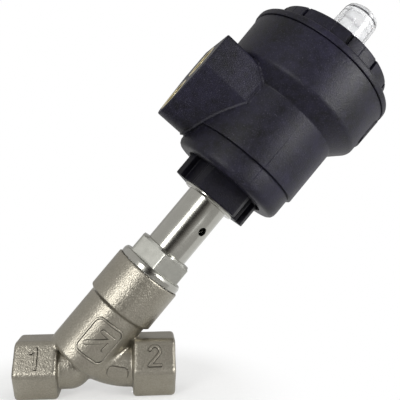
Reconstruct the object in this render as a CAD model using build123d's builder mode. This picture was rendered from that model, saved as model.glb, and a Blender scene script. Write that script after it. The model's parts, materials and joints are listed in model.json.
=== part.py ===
from build123d import *

import os
from math import cos, radians, sin, tan

# ---------------------------------------------------------------------------
# Angle seat valve: a stainless two-port body with an inclined bonnet, and a
# single-acting piston actuator on top.  Millimetres throughout.
#
# Frame: the origin is the mouth of port A, +X runs along the pipe to port B and
# +Z is up.  The stem leans towards +X in the XZ plane.  Heights along the stem
# are written as *_h and are measured from the point where it crosses the pipe.
# ---------------------------------------------------------------------------

os.makedirs("parts", exist_ok=True)

# running fits and seats, as radial or face clearances
slide_fit = 0.05        # stem in its bushes
piston_fit = 0.10       # piston in its cylinder
screw_fit = 0.04        # screwed pieces, thread drawn at its minor size
seat_gap = 0.10         # faces of two bodies that turn on one another

# --- valve body --------------------------------------------------------------
face_to_face = 68.0     # port A mouth to port B mouth
stem_angle = 50.0       # between the pipe and the stem
stem_x = 22.5           # where the stem line crosses the pipe line
hex_flats = 25.0        # both pipe ends
hex_len = 18.3
hex_round = 2.0         # corners of the cast hexagons
mouth_round = 1.1       # outer rim of each hexagon
mouth_chamfer = 1.1     # lead-in of each thread
pipe_thread_r = 9.3     # G 1/2 inside
pipe_thread_len = 14.0
waist_r = 9.8           # cast passages between hexagon and barrel
root_round = 1.5        # casting fillet where each waist leaves its hexagon
root_sink = 0.15        # that fillet runs out just under the waist's skin
passage_r = 6.8
outlet_rise = 33.0      # radius of the curve by which the outlet climbs to the chamber
outlet_sweep = 36.0     # degrees of that curve
barrel_r = 14.4
barrel_foot_h = 4.6
barrel_foot_round = 1.6
collar_r = 16.05        # thicker upper end of the barrel
collar_foot_h = 32.6
collar_taper = 1.7
body_top_h = 52.8
orifice_r = 6.5
seat_h = 10.0           # sealing face
seat_lip = 1.0
seat_lip_w = 1.3
chamber_r = 11.0
bonnet_thread_r = 13.0
bonnet_thread_foot_h = 38.0

# --- bonnet, tube and packing ----------------------------------------------------
gasket_w = 1.5
gasket_t = 1.2
bonnet_flange_r = 15.35
bonnet_flange_h = 53.1
bonnet_flange_t = 3.2
bonnet_flats = 25.0
bonnet_turn = -2.0      # one corner of the hexagon, degrees about the stem
bonnet_top_h = 65.4
bonnet_foot_h = 41.0
tube_r = 10.0
tube_bore_r = 7.5
tube_foot_h = 58.5
tube_top_h = 114.6
tube_rim_r = 13.1
tube_rim_h = 95.3
tube_rim_t = 1.3
leak_h = 81.6           # tell-tale hole through the tube
leak_r = 1.95
leak_turn = 38.0
spindle_r = 4.0
guide_r = 6.5
guide_len = 8.0
packing_foot_h = 60.0
packing_count = 3
packing_t = 2.8
packing_gap = 0.5
gland_len = 4.0
disc_spring_t = 0.7
disc_spring_rise = 0.9

# --- closing plate --------------------------------------------------------------
plate_r = 9.2
seat_seal_r = 8.5
seat_seal_t = 2.2
retainer_r = 5.5
retainer_t = 1.4
retainer_stud_r = 2.5
plate_boss_r = 6.4
plate_web_t = 2.6
plate_socket_h = 17.6
plate_top_h = 25.0
pin_r = 1.25

# --- piston and springs ---------------------------------------------------------
cylinder_r = 25.0
cylinder_floor_h = 113.2
piston_foot_h = 119.2
piston_len = 9.2
piston_web_t = 5.0
piston_wall = 3.0
piston_hub_r = 8.0
lip_seal_t = 2.4
lip_seal_w = 2.6
guide_ring_t = 2.2
guide_ring_w = 1.2
stem_neck_r = 3.0       # the spindle above its shoulder
piston_nut_flats = 10.0
piston_nut_t = 5.0
spring_cup_t = 1.0
outer_spring_r = 19.5   # mean radius
outer_wire_r = 1.6
outer_turns = 5
inner_spring_r = 12.5
inner_wire_r = 1.2
inner_turns = 7
indicator_r = 5.5
indicator_len = 9.0
indicator_drop = 9.0    # its foot below the seat of the cap

# --- actuator housing ------------------------------------------------------------
foot_h = 105.3          # underside of the housing
foot_r = 27.1
foot_round = 3.6
band_h = 117.3          # top of the lower band
mid_r = 28.45
shoulder_h = 144.2
head_r = 35.1
head_h = 150.8          # top of the shoulder
head_top_r = 35.4
head_len = 20.1         # shoulder to the cover's seat
cover_thread_r = 31.8
cover_thread_len = 18.5
recess_r = 20.2         # round recess in the underside, round the base nut
recess_depth = 2.6
port_turn = 7.0         # the port block, degrees towards -Y
port_reach = 42.2       # face of the block from the stem
port_half_w = 21.7
port_top_h = 149.0
port_side_foot_h = 132.0
port_lobe_r = 10.8      # rounded lower end of the block
port_low_h = 119.6
port_high_h = 138.4
port_edge = 1.2
insert_r = 8.4
insert_len = 11.5
insert_rim = 0.5        # step at the mouth of each insert
air_thread_r = 5.75     # G 1/4 inside
air_hole_r = 1.6
low_air_drop = 1.4      # air hole below the centre of the lower port
high_air_rise = 3.9
pad_turn = 82.0         # blank pad on the head
pad_sweep = 26.0
pad_foot_h = 151.4
pad_len = 8.0
pad_proud = 0.7

# --- base nut, between tube rim and housing -----------------------------------------
nut_flats = 33.3
nut_turn = 32.0         # one corner, degrees about the stem
nut_foot_h = 94.8
pocket_w = 11.5
pocket_roof = 1.8
rib_r = 1.5
base_ring_r = 1.0       # section of the O-ring under the housing
clip_t = 1.2            # retaining ring inside the housing
clip_w = 2.2

# --- cover, clear cap -------------------------------------------------------------
cover_gap = 0.2
cover_r = 36.0
cover_rim_t = 3.1
cover_rim_round = 1.2
grip_r = 29.6
grip_rise = 8.1         # ring above the rim
grip_wall = 4.0
grip_round = 0.7
slot_turn = -24.0       # middle of the widest pad between slots
slot_first = 22.5
slot_step = 30.0
slot_w = 1.5
slot_depth = 1.6
slot_foot = 2.2         # solid band under each slot
skirt_wall = 3.4
cover_roof_t = 3.0
tower_r = 13.0
tower_rise = 7.8        # seat of the cap above the rim
cap_thread_r = 9.2
cap_base_r = 9.7
cap_step_r = 8.7
cap_screw_len = 7.5
cap_len = 21.4          # seat to step
cap_crown_len = 3.2
cap_wall = 1.6
cap_crown_r = 8.2
cap_ring_r = 0.9        # section of its O-ring
cover_ring_r = 1.1      # section of the cover's O-ring

# heights that follow from the housing upwards
housing_top_h = head_h + head_len
cover_thread_foot_h = housing_top_h - cover_thread_len
cover_foot_h = housing_top_h + cover_gap
rim_top_h = cover_foot_h + cover_rim_t
grip_top_h = rim_top_h + grip_rise
cap_seat_h = rim_top_h + tower_rise
cap_foot_h = cap_seat_h - cap_screw_len
cap_step_h = cap_seat_h + cap_len
cap_top_h = cap_step_h + cap_crown_len
indicator_foot_h = cap_seat_h - indicator_drop

# ---------------------------------------------------------------------------
# Planes and axes
# ---------------------------------------------------------------------------
stem_origin = Vector(stem_x, 0, 0)
stem_dir = Vector(cos(radians(stem_angle)), 0, sin(radians(stem_angle)))
stem_axis = Axis(stem_origin, stem_dir)
# looking down the stem: local x points to -Y, local y to the port B side
stem_plane = Plane(origin=stem_origin, x_dir=(0, -1, 0), z_dir=stem_dir)
# half plane of the turned profiles: local x is the radius, local y the height
turn_plane = Plane(origin=stem_origin, x_dir=stem_plane.y_dir, z_dir=(0, -1, 0))


def around(degrees):
    """Unit vector square to the stem, counted from -Y towards the port B side."""
    angle = radians(degrees)
    return stem_plane.x_dir * cos(angle) + stem_plane.y_dir * sin(angle)


def side_plane(degrees):
    """Plane facing outwards from the stem: local x is tangential, local y is the height."""
    outwards = around(degrees)
    return Plane(origin=stem_origin, x_dir=stem_dir.cross(outwards), z_dir=outwards)


def turned(*profile, mode=Mode.ADD):
    """Revolve a closed (radius, height) outline about the stem."""
    with BuildSketch(turn_plane) as outline:
        with BuildLine():
            Polyline(*profile, close=True)
        make_face()
    revolve(outline.sketch, axis=stem_axis, mode=mode)


def ring(inner, outer, foot, top, mode=Mode.ADD):
    """A plain ring about the stem."""
    turned((inner, foot), (outer, foot), (outer, top), (inner, top), mode=mode)


def bored(radius, foot, top):
    """Cut a round bore along the stem."""
    ring(0, radius, foot, top, mode=Mode.SUBTRACT)


def o_ring(radius, section, height):
    """A round-section ring about the stem."""
    with BuildSketch(turn_plane) as outline:
        with Locations((radius, height)):
            Circle(section)
    revolve(outline.sketch, axis=stem_axis)


def hexagon(flats, corner_turn, foot, length, mode=Mode.ADD):
    """A hexagonal prism on the stem."""
    with BuildSketch(stem_plane.offset(foot)) as outline:
        RegularPolygon(flats / 2, 6, major_radius=False, rotation=corner_turn)
    extrude(outline.sketch, amount=length, mode=mode)


def coil(radius, wire, foot, top, turns):
    """A compression spring about the stem, from face to face."""
    height = top - foot - 2 * wire
    with BuildLine() as path:
        Helix(height / turns, height, radius, stem_origin + stem_dir * (foot + wire), stem_dir)
    start = path.line @ 0
    with BuildSketch(Plane(origin=start, z_dir=path.line % 0)) as section:
        RegularPolygon(wire, 8)
    sweep(section.sketch, path=path.line, is_frenet=True)


# ---------------------------------------------------------------------------
# Valve body: hexagon ends, waists, barrel, passages and seat in one casting
# ---------------------------------------------------------------------------
outlet_start = Vector(face_to_face - hex_len, 0, 0)
outlet_centre = outlet_start + Vector(0, 0, outlet_rise)

with BuildPart() as valve_body:
    # waist A, with a ball where it turns up under the barrel
    with BuildSketch(Plane.YZ.offset(hex_len / 2)):
        Circle(waist_r)
    extrude(amount=stem_x - hex_len / 2)
    with Locations(stem_origin):
        Sphere(waist_r)
    # waist B climbs from the hexagon to the chamber
    with BuildLine(Plane.XZ) as outlet_path:
        CenterArc((outlet_start.X, outlet_rise), outlet_rise, 270, -outlet_sweep)
    with BuildSketch(Plane(origin=outlet_start, z_dir=(-1, 0, 0))) as outlet_skin:
        Circle(waist_r)
    sweep(outlet_skin.sketch, path=outlet_path.line)
    # barrel with its collar
    turned(
        (0, barrel_foot_h),
        (barrel_r - barrel_foot_round, barrel_foot_h),
        (barrel_r - 0.3 * barrel_foot_round, barrel_foot_h + 0.3 * barrel_foot_round),
        (barrel_r, barrel_foot_h + barrel_foot_round),
        (barrel_r, collar_foot_h),
        (collar_r, collar_foot_h + collar_taper),
        (collar_r, body_top_h),
        (0, body_top_h),
    )
    # hexagons, flats at the top and bottom
    for start in (0, face_to_face - hex_len):
        with BuildSketch(Plane.YZ.offset(start)) as end_hex:
            RegularPolygon(hex_flats / 2, 6, major_radius=False)
            fillet(end_hex.vertices(), hex_round)
        extrude(amount=hex_len)
    # casting fillets at the roots of the waists
    for root_x, away in ((hex_len, 1), (face_to_face - hex_len, -1)):
        inner_r = waist_r - root_sink
        near = root_round * (1 - cos(radians(45)))
        with BuildSketch(Plane.XZ) as root:
            with BuildLine():
                ThreePointArc(
                    (root_x, inner_r + root_round),
                    (root_x + away * near, inner_r + near),
                    (root_x + away * root_round, inner_r),
                )
                Polyline(
                    (root_x + away * root_round, inner_r),
                    (root_x + away * root_round, 0),
                    (root_x - away, 0),
                    (root_x - away, inner_r + root_round),
                    (root_x, inner_r + root_round),
                )
            make_face()
        revolve(root.sketch, axis=Axis.X)
    mouths = valve_body.faces().sort_by(Axis.X)
    fillet(mouths[0].edges() + mouths[-1].edges(), mouth_round)
    # inlet: thread, straight passage, bend and throat up to the seat
    with BuildSketch(Plane.YZ):
        Circle(pipe_thread_r + mouth_chamfer)
    extrude(amount=mouth_chamfer, taper=45, mode=Mode.SUBTRACT)
    with BuildSketch(Plane.YZ):
        Circle(pipe_thread_r)
    extrude(amount=pipe_thread_len, mode=Mode.SUBTRACT)
    with BuildSketch(Plane.YZ):
        Circle(passage_r)
    extrude(amount=stem_x, mode=Mode.SUBTRACT)
    with Locations(stem_origin):
        Sphere(passage_r, mode=Mode.SUBTRACT)
    bored(orifice_r, 0, seat_h)
    # outlet: thread and the climbing passage
    with BuildSketch(Plane.YZ.offset(face_to_face)):
        Circle(pipe_thread_r + mouth_chamfer)
    extrude(amount=-mouth_chamfer, taper=45, mode=Mode.SUBTRACT)
    with BuildSketch(Plane.YZ.offset(face_to_face)):
        Circle(pipe_thread_r)
    extrude(amount=-pipe_thread_len, mode=Mode.SUBTRACT)
    with BuildSketch(Plane.YZ.offset(face_to_face)):
        Circle(passage_r)
    extrude(amount=-hex_len, mode=Mode.SUBTRACT)
    with BuildLine(Plane.XZ) as passage_path:
        CenterArc((outlet_start.X, outlet_rise), outlet_rise, 270, -outlet_sweep * 0.6)
    with BuildSketch(Plane(origin=outlet_start, z_dir=(-1, 0, 0))) as passage_skin:
        Circle(passage_r)
    sweep(passage_skin.sketch, path=passage_path.line, mode=Mode.SUBTRACT)
    # chamber round the raised seat, and the bonnet thread
    ring(orifice_r + seat_lip_w, chamber_r, seat_h - seat_lip, seat_h, mode=Mode.SUBTRACT)
    bored(chamber_r, seat_h, body_top_h)
    bored(bonnet_thread_r, bonnet_thread_foot_h, body_top_h)
    ring(0, bonnet_thread_r + gasket_w, body_top_h - gasket_t + 0.3, body_top_h, mode=Mode.SUBTRACT)
valve_body.part.label = "valve_body"
export_step(valve_body.part, "parts/valve_body.step")

# ---------------------------------------------------------------------------
# Bonnet group, screwed into the body
# ---------------------------------------------------------------------------
gasket_foot_h = body_top_h - gasket_t + 0.3
with BuildPart() as body_gasket:
    ring(bonnet_thread_r + 0.1, bonnet_thread_r + gasket_w - 0.1, gasket_foot_h, bonnet_flange_h)
body_gasket.part.label = "body_gasket"
export_step(body_gasket.part, "parts/body_gasket.step")

bonnet_plug_r = bonnet_thread_r - screw_fit
bonnet_hex_h = bonnet_flange_h + bonnet_flange_t
bush_top_h = bonnet_foot_h + guide_len
with BuildPart() as bonnet:
    turned(
        (0, bonnet_foot_h),
        (bonnet_plug_r - 1.2, bonnet_foot_h),
        (bonnet_plug_r, bonnet_foot_h + 1.2),
        (bonnet_plug_r, bonnet_flange_h),
        (bonnet_flange_r - 0.4, bonnet_flange_h),
        (bonnet_flange_r, bonnet_flange_h + 0.4),
        (bonnet_flange_r, bonnet_hex_h - 0.5),
        (bonnet_flange_r - 0.5, bonnet_hex_h),
        (0, bonnet_hex_h),
    )
    hexagon(bonnet_flats, bonnet_turn, bonnet_hex_h, bonnet_top_h - bonnet_hex_h)
    # the hexagon's corners are turned back at the top
    corner_r = bonnet_flats / 2 / cos(radians(30))
    turned(
        (bonnet_flats / 2 - 0.4, bonnet_top_h),
        (corner_r + 1.0, bonnet_top_h - (corner_r + 1.4 - bonnet_flats / 2) * tan(radians(30))),
        (corner_r + 1.0, bonnet_top_h + 1.0),
        (bonnet_flats / 2 - 0.4, bonnet_top_h + 1.0),
        mode=Mode.SUBTRACT,
    )
    bored(guide_r, bonnet_foot_h, bush_top_h)
    bored(spindle_r + 0.4, bush_top_h, bonnet_top_h)
    bored(tube_bore_r, bush_top_h + 2.5, bonnet_top_h)
    bored(tube_r + screw_fit, tube_foot_h, bonnet_top_h)
bonnet.part.label = "bonnet"
export_step(bonnet.part, "parts/bonnet.step")

with BuildPart() as spindle_tube:
    turned(
        (tube_bore_r, tube_foot_h),
        (tube_r - 0.6, tube_foot_h),
        (tube_r, tube_foot_h + 0.6),
        (tube_r, tube_rim_h),
        (tube_rim_r - 0.3, tube_rim_h),
        (tube_rim_r, tube_rim_h + 0.3),
        (tube_rim_r, tube_rim_h + tube_rim_t),
        (tube_r, tube_rim_h + tube_rim_t),
        (tube_r, tube_top_h - 0.5),
        (tube_r - 0.5, tube_top_h),
        (tube_bore_r, tube_top_h),
    )
    # groove of the retaining ring that keeps the housing on the tube
    clip_h = cylinder_floor_h - 0.1 - clip_t
    ring(tube_r - 0.9, tube_r + 1.0, clip_h, clip_h + clip_t, mode=Mode.SUBTRACT)
    with BuildSketch(side_plane(leak_turn)):
        with Locations((0, leak_h)):
            Circle(leak_r)
    extrude(amount=tube_rim_r, mode=Mode.SUBTRACT)
spindle_tube.part.label = "spindle_tube"
export_step(spindle_tube.part, "parts/spindle_tube.step")

with BuildPart() as lower_guide:
    ring(spindle_r + slide_fit, guide_r - 0.02, bonnet_foot_h + 0.2, bush_top_h)
lower_guide.part.label = "lower_guide"
export_step(lower_guide.part, "parts/lower_guide.step")

# disc springs keep the packing pressed upwards
disc_foot_h = bush_top_h + 2.5
disc_room = packing_foot_h - disc_foot_h
disc_count = int(disc_room // (disc_spring_t + disc_spring_rise))
disc_step = disc_room / disc_count
with BuildPart() as packing_springs:
    for number in range(disc_count):
        low = disc_foot_h + number * disc_step
        inner_lift, outer_lift = (disc_spring_rise, 0) if number % 2 else (0, disc_spring_rise)
        turned(
            (spindle_r + 0.5, low + inner_lift),
            (tube_bore_r - 0.1, low + outer_lift),
            (tube_bore_r - 0.1, low + outer_lift + disc_spring_t - 0.05),
            (spindle_r + 0.5, low + inner_lift + disc_spring_t - 0.05),
        )
packing_springs.part.label = "packing_springs"
export_step(packing_springs.part, "parts/packing_springs.step")

chevron = 1.2
packing_step = packing_t + packing_gap
with BuildPart() as packing_rings:
    for number in range(packing_count):
        low = packing_foot_h + number * packing_step
        middle = (spindle_r + tube_bore_r) / 2
        turned(
            (spindle_r + slide_fit, low),
            (middle, low + chevron),
            (tube_bore_r - 0.02, low),
            (tube_bore_r - 0.02, low + packing_t),
            (middle, low + packing_t + chevron),
            (spindle_r + slide_fit, low + packing_t),
        )
packing_rings.part.label = "packing_rings"
export_step(packing_rings.part, "parts/packing_rings.step")

gland_foot_h = packing_foot_h + packing_count * packing_step
with BuildPart() as gland_ring:
    turned(
        (spindle_r + slide_fit, gland_foot_h),
        ((spindle_r + tube_bore_r) / 2, gland_foot_h + chevron),
        (tube_bore_r - 0.03, gland_foot_h),
        (tube_bore_r - 0.03, gland_foot_h + gland_len),
        (spindle_r + slide_fit, gland_foot_h + gland_len),
    )
gland_ring.part.label = "gland_ring"
export_step(gland_ring.part, "parts/gland_ring.step")

upper_guide_foot_h = tube_rim_h + 4.0
stem_seal_t = 3.0
with BuildPart() as upper_guide:
    ring(spindle_r + slide_fit, tube_bore_r - 0.02, upper_guide_foot_h, tube_top_h - stem_seal_t)
upper_guide.part.label = "upper_guide"
export_step(upper_guide.part, "parts/upper_guide.step")

with BuildPart() as stem_seal:
    ring(spindle_r + slide_fit, tube_bore_r - 0.02, tube_top_h - stem_seal_t, tube_top_h - 0.3)
stem_seal.part.label = "stem_seal"
export_step(stem_seal.part, "parts/stem_seal.step")

# ---------------------------------------------------------------------------
# Base nut: moulded hexagon between the tube's rim and the housing
# ---------------------------------------------------------------------------
nut_top_h = foot_h + recess_depth - seat_gap
nut_corner_r = nut_flats / 2 / cos(radians(30))
with BuildPart() as base_nut:
    hexagon(nut_flats, nut_turn, nut_foot_h, nut_top_h - nut_foot_h)
    # every second side is cored out, leaving a rounded rib by one corner
    for side in range(3):
        facing = nut_turn - 90 + 120 * side
        pocket_floor = tube_rim_r + 0.5
        with BuildSketch(side_plane(facing).offset(pocket_floor)):
            with Locations((0, (nut_foot_h + nut_top_h - pocket_roof) / 2)):
                Rectangle(pocket_w, nut_top_h - pocket_roof - nut_foot_h)
        extrude(amount=nut_flats, mode=Mode.SUBTRACT)
        rib_foot = stem_plane.offset(nut_foot_h)
        rib_at = around(facing) * pocket_floor + stem_dir.cross(around(facing)) * (pocket_w / 2 - 2.6)
        with BuildSketch(Plane(origin=rib_foot.origin + rib_at, z_dir=stem_dir)) as rib:
            Circle(rib_r)
        extrude(rib.sketch, amount=nut_top_h - nut_foot_h - pocket_roof / 2)
    bored(tube_r + 0.03, nut_foot_h, nut_top_h)
    bored(tube_rim_r + 0.05, nut_foot_h, tube_rim_h + tube_rim_t)
    o_groove_r = tube_r + 2.6
    ring(o_groove_r - base_ring_r - 0.2, o_groove_r + base_ring_r + 0.2,
         nut_top_h - 1.6 * base_ring_r, nut_top_h, mode=Mode.SUBTRACT)
base_nut.part.label = "base_nut"
export_step(base_nut.part, "parts/base_nut.step")

with BuildPart() as base_o_ring:
    ring(o_groove_r - base_ring_r, o_groove_r + base_ring_r,
         nut_top_h - 1.6 * base_ring_r, nut_top_h + seat_gap / 2)
base_o_ring.part.label = "base_o_ring"
export_step(base_o_ring.part, "parts/base_o_ring.step")

with BuildPart() as housing_clip:
    ring(tube_r - 0.85, tube_r + clip_w - 0.85, clip_h + 0.05, clip_h + clip_t - 0.05)
    with BuildSketch(side_plane(180)):
        with Locations((0, clip_h + clip_t / 2)):
            Rectangle(5.0, clip_t * 2)
    extrude(amount=tube_r + clip_w + 2, mode=Mode.SUBTRACT)
housing_clip.part.label = "housing_clip"
export_step(housing_clip.part, "parts/housing_clip.step")

# ---------------------------------------------------------------------------
# Moving stem: plate, spindle, piston, indicator.  Drawn closed, plate on seat.
# ---------------------------------------------------------------------------
with BuildPart() as seat_seal:
    ring(retainer_stud_r + 0.03, seat_seal_r, seat_h, seat_h + seat_seal_t)
seat_seal.part.label = "seat_seal"
export_step(seat_seal.part, "parts/seat_seal.step")

plate_foot_h = seat_h + seat_seal_t
with BuildPart() as valve_plate:
    turned(
        (0, plate_foot_h),
        (seat_seal_r + 0.03, plate_foot_h),
        (seat_seal_r + 0.03, seat_h + 0.5 * seat_seal_t),
        (plate_r - 0.2, seat_h + 0.5 * seat_seal_t),
        (plate_r, seat_h + 0.5 * seat_seal_t + 0.2),
        (plate_r, plate_foot_h + plate_web_t - 1.0),
        (plate_r - 1.6, plate_foot_h + plate_web_t),
        (plate_boss_r, plate_foot_h + plate_web_t + 0.8),
        (plate_boss_r, plate_top_h - 0.8),
        (plate_boss_r - 0.8, plate_top_h),
        (0, plate_top_h),
    )
    bored(spindle_r + 0.02, plate_socket_h, plate_top_h)
    bored(retainer_stud_r + 0.03, plate_foot_h, plate_socket_h - 0.6)
    pin_h = (plate_socket_h + plate_top_h) / 2
    with BuildSketch(side_plane(0)):
        with Locations((0, pin_h)):
            Circle(pin_r)
    extrude(amount=plate_r, both=True, mode=Mode.SUBTRACT)
valve_plate.part.label = "valve_plate"
export_step(valve_plate.part, "parts/valve_plate.step")

with BuildPart() as plate_retainer:
    turned(
        (0, seat_h - retainer_t),
        (retainer_r - 1.0, seat_h - retainer_t),
        (retainer_r, seat_h - 0.4),
        (retainer_r, seat_h),
        (retainer_stud_r, seat_h),
        (retainer_stud_r, plate_socket_h - 1.2),
        (0, plate_socket_h - 1.2),
    )
    with BuildSketch(stem_plane.offset(seat_h - retainer_t)):
        Rectangle(2 * retainer_r, 1.2)
    extrude(amount=0.8, mode=Mode.SUBTRACT)
plate_retainer.part.label = "plate_retainer"
export_step(plate_retainer.part, "parts/plate_retainer.step")

piston_top_h = piston_foot_h + piston_len
web_foot_h = piston_foot_h + 1.8
web_top_h = web_foot_h + piston_web_t
shoulder_stem_h = web_foot_h - 0.6
indicator_top_h = indicator_foot_h + indicator_len
with BuildPart() as spindle:
    turned(
        (0, plate_socket_h + 0.1),
        (spindle_r - 0.5, plate_socket_h + 0.1),
        (spindle_r, plate_socket_h + 0.6),
        (spindle_r, shoulder_stem_h),
        (stem_neck_r, shoulder_stem_h),
        (stem_neck_r, indicator_top_h - 3.4),
        (stem_neck_r - 0.4, indicator_top_h - 3.0),
        (0, indicator_top_h - 3.0),
    )
    with BuildSketch(side_plane(0)):
        with Locations((0, pin_h)):
            Circle(pin_r)
    extrude(amount=plate_r, both=True, mode=Mode.SUBTRACT)
spindle.part.label = "spindle"
export_step(spindle.part, "parts/spindle.step")

with BuildPart() as plate_pin:
    with BuildSketch(side_plane(0)):
        with Locations((0, pin_h)):
            Circle(pin_r - 0.01)
    extrude(amount=plate_boss_r - 0.3, both=True)
plate_pin.part.label = "plate_pin"
export_step(plate_pin.part, "parts/plate_pin.step")

piston_r = cylinder_r - piston_fit
groove_r = piston_r - lip_seal_w
lip_foot_h = piston_foot_h + 1.2
guide_foot_h = piston_top_h - 1.2 - guide_ring_t
with BuildPart() as piston:
    turned(
        (0, shoulder_stem_h),
        (piston_hub_r, shoulder_stem_h),
        (piston_hub_r + 0.6, web_foot_h),
        (piston_r - lip_seal_w - piston_wall, web_foot_h),
        (piston_r - lip_seal_w - piston_wall + 0.6, piston_foot_h),
        (piston_r - 0.3, piston_foot_h),
        (piston_r, piston_foot_h + 0.3),
        (piston_r, piston_top_h - 0.3),
        (piston_r - 0.3, piston_top_h),
        (piston_r - piston_wall, piston_top_h),
        (piston_r - piston_wall - 0.4, web_top_h),
        (0, web_top_h),
    )
    ring(groove_r, piston_r + 1, lip_foot_h, lip_foot_h + lip_seal_t, mode=Mode.SUBTRACT)
    ring(piston_r - guide_ring_w, piston_r + 1, guide_foot_h, guide_foot_h + guide_ring_t,
         mode=Mode.SUBTRACT)
    bored(stem_neck_r + 0.02, shoulder_stem_h, web_top_h)
    ring(0, stem_neck_r + 1.6, shoulder_stem_h, shoulder_stem_h + 1.5, mode=Mode.SUBTRACT)
piston.part.label = "piston"
export_step(piston.part, "parts/piston.step")

with BuildPart() as piston_lip_seal:
    turned(
        (groove_r + 0.02, lip_foot_h + 0.05),
        (cylinder_r - 0.03, lip_foot_h + 0.05),
        (cylinder_r - 0.03, lip_foot_h + 0.5),
        (piston_r - 0.9, lip_foot_h + 1.2),
        (piston_r - 0.2, lip_foot_h + lip_seal_t - 0.05),
        (groove_r + 0.02, lip_foot_h + lip_seal_t - 0.05),
    )
piston_lip_seal.part.label = "piston_lip_seal"
export_step(piston_lip_seal.part, "parts/piston_lip_seal.step")

with BuildPart() as piston_guide_ring:
    ring(piston_r - guide_ring_w + 0.02, cylinder_r - 0.04,
         guide_foot_h + 0.05, guide_foot_h + guide_ring_t - 0.05)
piston_guide_ring.part.label = "piston_guide_ring"
export_step(piston_guide_ring.part, "parts/piston_guide_ring.step")

with BuildPart() as stem_o_ring:
    ring(stem_neck_r + 0.02, stem_neck_r + 1.55, shoulder_stem_h, shoulder_stem_h + 1.4)
stem_o_ring.part.label = "stem_o_ring"
export_step(stem_o_ring.part, "parts/stem_o_ring.step")

# pressed cup that centres both springs under the piston nut
with BuildPart() as spring_cup:
    turned(
        (stem_neck_r + 0.05, web_top_h),
        (outer_spring_r + outer_wire_r + 0.2, web_top_h),
        (outer_spring_r + outer_wire_r + 0.2, web_top_h + spring_cup_t),
        (outer_spring_r - 1.6 * outer_wire_r, web_top_h + spring_cup_t),
        (outer_spring_r - 1.6 * outer_wire_r - 0.6, web_top_h + 2.2 * spring_cup_t),
        (inner_spring_r + 1.8 * inner_wire_r + 0.6, web_top_h + 2.2 * spring_cup_t),
        (inner_spring_r + 1.8 * inner_wire_r, web_top_h + spring_cup_t),
        (stem_neck_r + 0.05, web_top_h + spring_cup_t),
    )
spring_cup.part.label = "spring_cup"
export_step(spring_cup.part, "parts/spring_cup.step")

nut_seat_h = web_top_h + spring_cup_t
with BuildPart() as piston_nut:
    hexagon(piston_nut_flats, 0, nut_seat_h, piston_nut_t)
    bored(stem_neck_r + 0.02, nut_seat_h, nut_seat_h + piston_nut_t)
    chamfer(piston_nut.edges().filter_by(GeomType.CIRCLE), 0.4)
piston_nut.part.label = "piston_nut"
export_step(piston_nut.part, "parts/piston_nut.step")

with BuildPart() as position_indicator:
    turned(
        (0, indicator_foot_h),
        (indicator_r - 0.5, indicator_foot_h),
        (indicator_r, indicator_foot_h + 0.5),
        (indicator_r, indicator_top_h - 1.4),
        (indicator_r - 1.4, indicator_top_h),
        (0, indicator_top_h),
    )
    bored(stem_neck_r + 0.02, indicator_foot_h, indicator_top_h - 2.9)
position_indicator.part.label = "position_indicator"
export_step(position_indicator.part, "parts/position_indicator.step")

# ---------------------------------------------------------------------------
# Actuator housing: moulded cylinder with shoulder, head and keystone port block
# ---------------------------------------------------------------------------
port_angle = port_turn - 90
port_plane = side_plane(port_angle)
hub_r = tube_r + seat_gap
with BuildPart() as actuator_housing:
    turned(
        (0, foot_h),
        (foot_r, foot_h),
        (foot_r, band_h - 0.5),
        (foot_r + 0.4, band_h - 0.5),
        (mid_r, band_h),
        (mid_r, shoulder_h),
        (head_r, head_h),
        (head_top_r, housing_top_h),
        (0, housing_top_h),
    )
    underside = actuator_housing.edges().filter_by(GeomType.CIRCLE).sort_by(stem_axis)[0]
    fillet(underside, foot_round)
    shoulders = actuator_housing.edges().filter_by(
        lambda edge: edge.geom_type == GeomType.CIRCLE and abs(edge.radius - head_r) < 0.01
    )
    fillet(shoulders, 1.0)
    # port block: wide and flat-topped above, drawn in to a round lobe below
    with BuildSketch(port_plane.offset(tube_r)) as block:
        with Locations((0, (port_side_foot_h + port_top_h) / 2)):
            RectangleRounded(2 * port_half_w, port_top_h - port_side_foot_h, 1.8)
        with Locations((0, port_low_h)):
            Circle(port_lobe_r)
        make_hull()
    extrude(block.sketch, amount=port_reach - tube_r)
    block_face = actuator_housing.faces().filter_by(GeomType.PLANE).sort_by(
        Axis(stem_origin, port_plane.z_dir))[-1]
    fillet(block_face.outer_wire().edges(), port_edge)
    # blank pad on the head
    with BuildSketch(turn_plane) as pad:
        with BuildLine():
            Polyline(
                (head_r - 1.0, pad_foot_h),
                (head_r + pad_proud, pad_foot_h + 0.4),
                (head_r + pad_proud, pad_foot_h + pad_len - 0.4),
                (head_r - 1.0, pad_foot_h + pad_len),
                close=True,
            )
        make_face()
    pad_blank = revolve(pad.sketch, axis=stem_axis, revolution_arc=pad_sweep, mode=Mode.PRIVATE)
    add(pad_blank.rotate(stem_axis, pad_turn - 90 - pad_sweep / 2))
    # cylinder, cover thread, hub and the recess for the base nut
    bored(cylinder_r, cylinder_floor_h, housing_top_h)
    bored(cover_thread_r, cover_thread_foot_h, housing_top_h)
    bored(hub_r, foot_h, cylinder_floor_h)
    bored(tube_r + clip_w + 0.2, clip_h - seat_gap, cylinder_floor_h)
    bored(recess_r, foot_h, foot_h + recess_depth)
    # insert pockets and air holes
    for height in (port_low_h, port_high_h):
        with BuildSketch(port_plane.offset(port_reach)):
            with Locations((0, height)):
                Circle(insert_r)
        extrude(amount=-insert_len, mode=Mode.SUBTRACT)
    for height in (port_low_h - low_air_drop, port_high_h + high_air_rise):
        with BuildSketch(port_plane.offset(port_reach - insert_len)):
            with Locations((0, height)):
                Circle(air_hole_r)
        extrude(amount=-(port_reach - insert_len - cylinder_r + 3), mode=Mode.SUBTRACT)
actuator_housing.part.label = "actuator_housing"
export_step(actuator_housing.part, "parts/actuator_housing.step")

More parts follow.
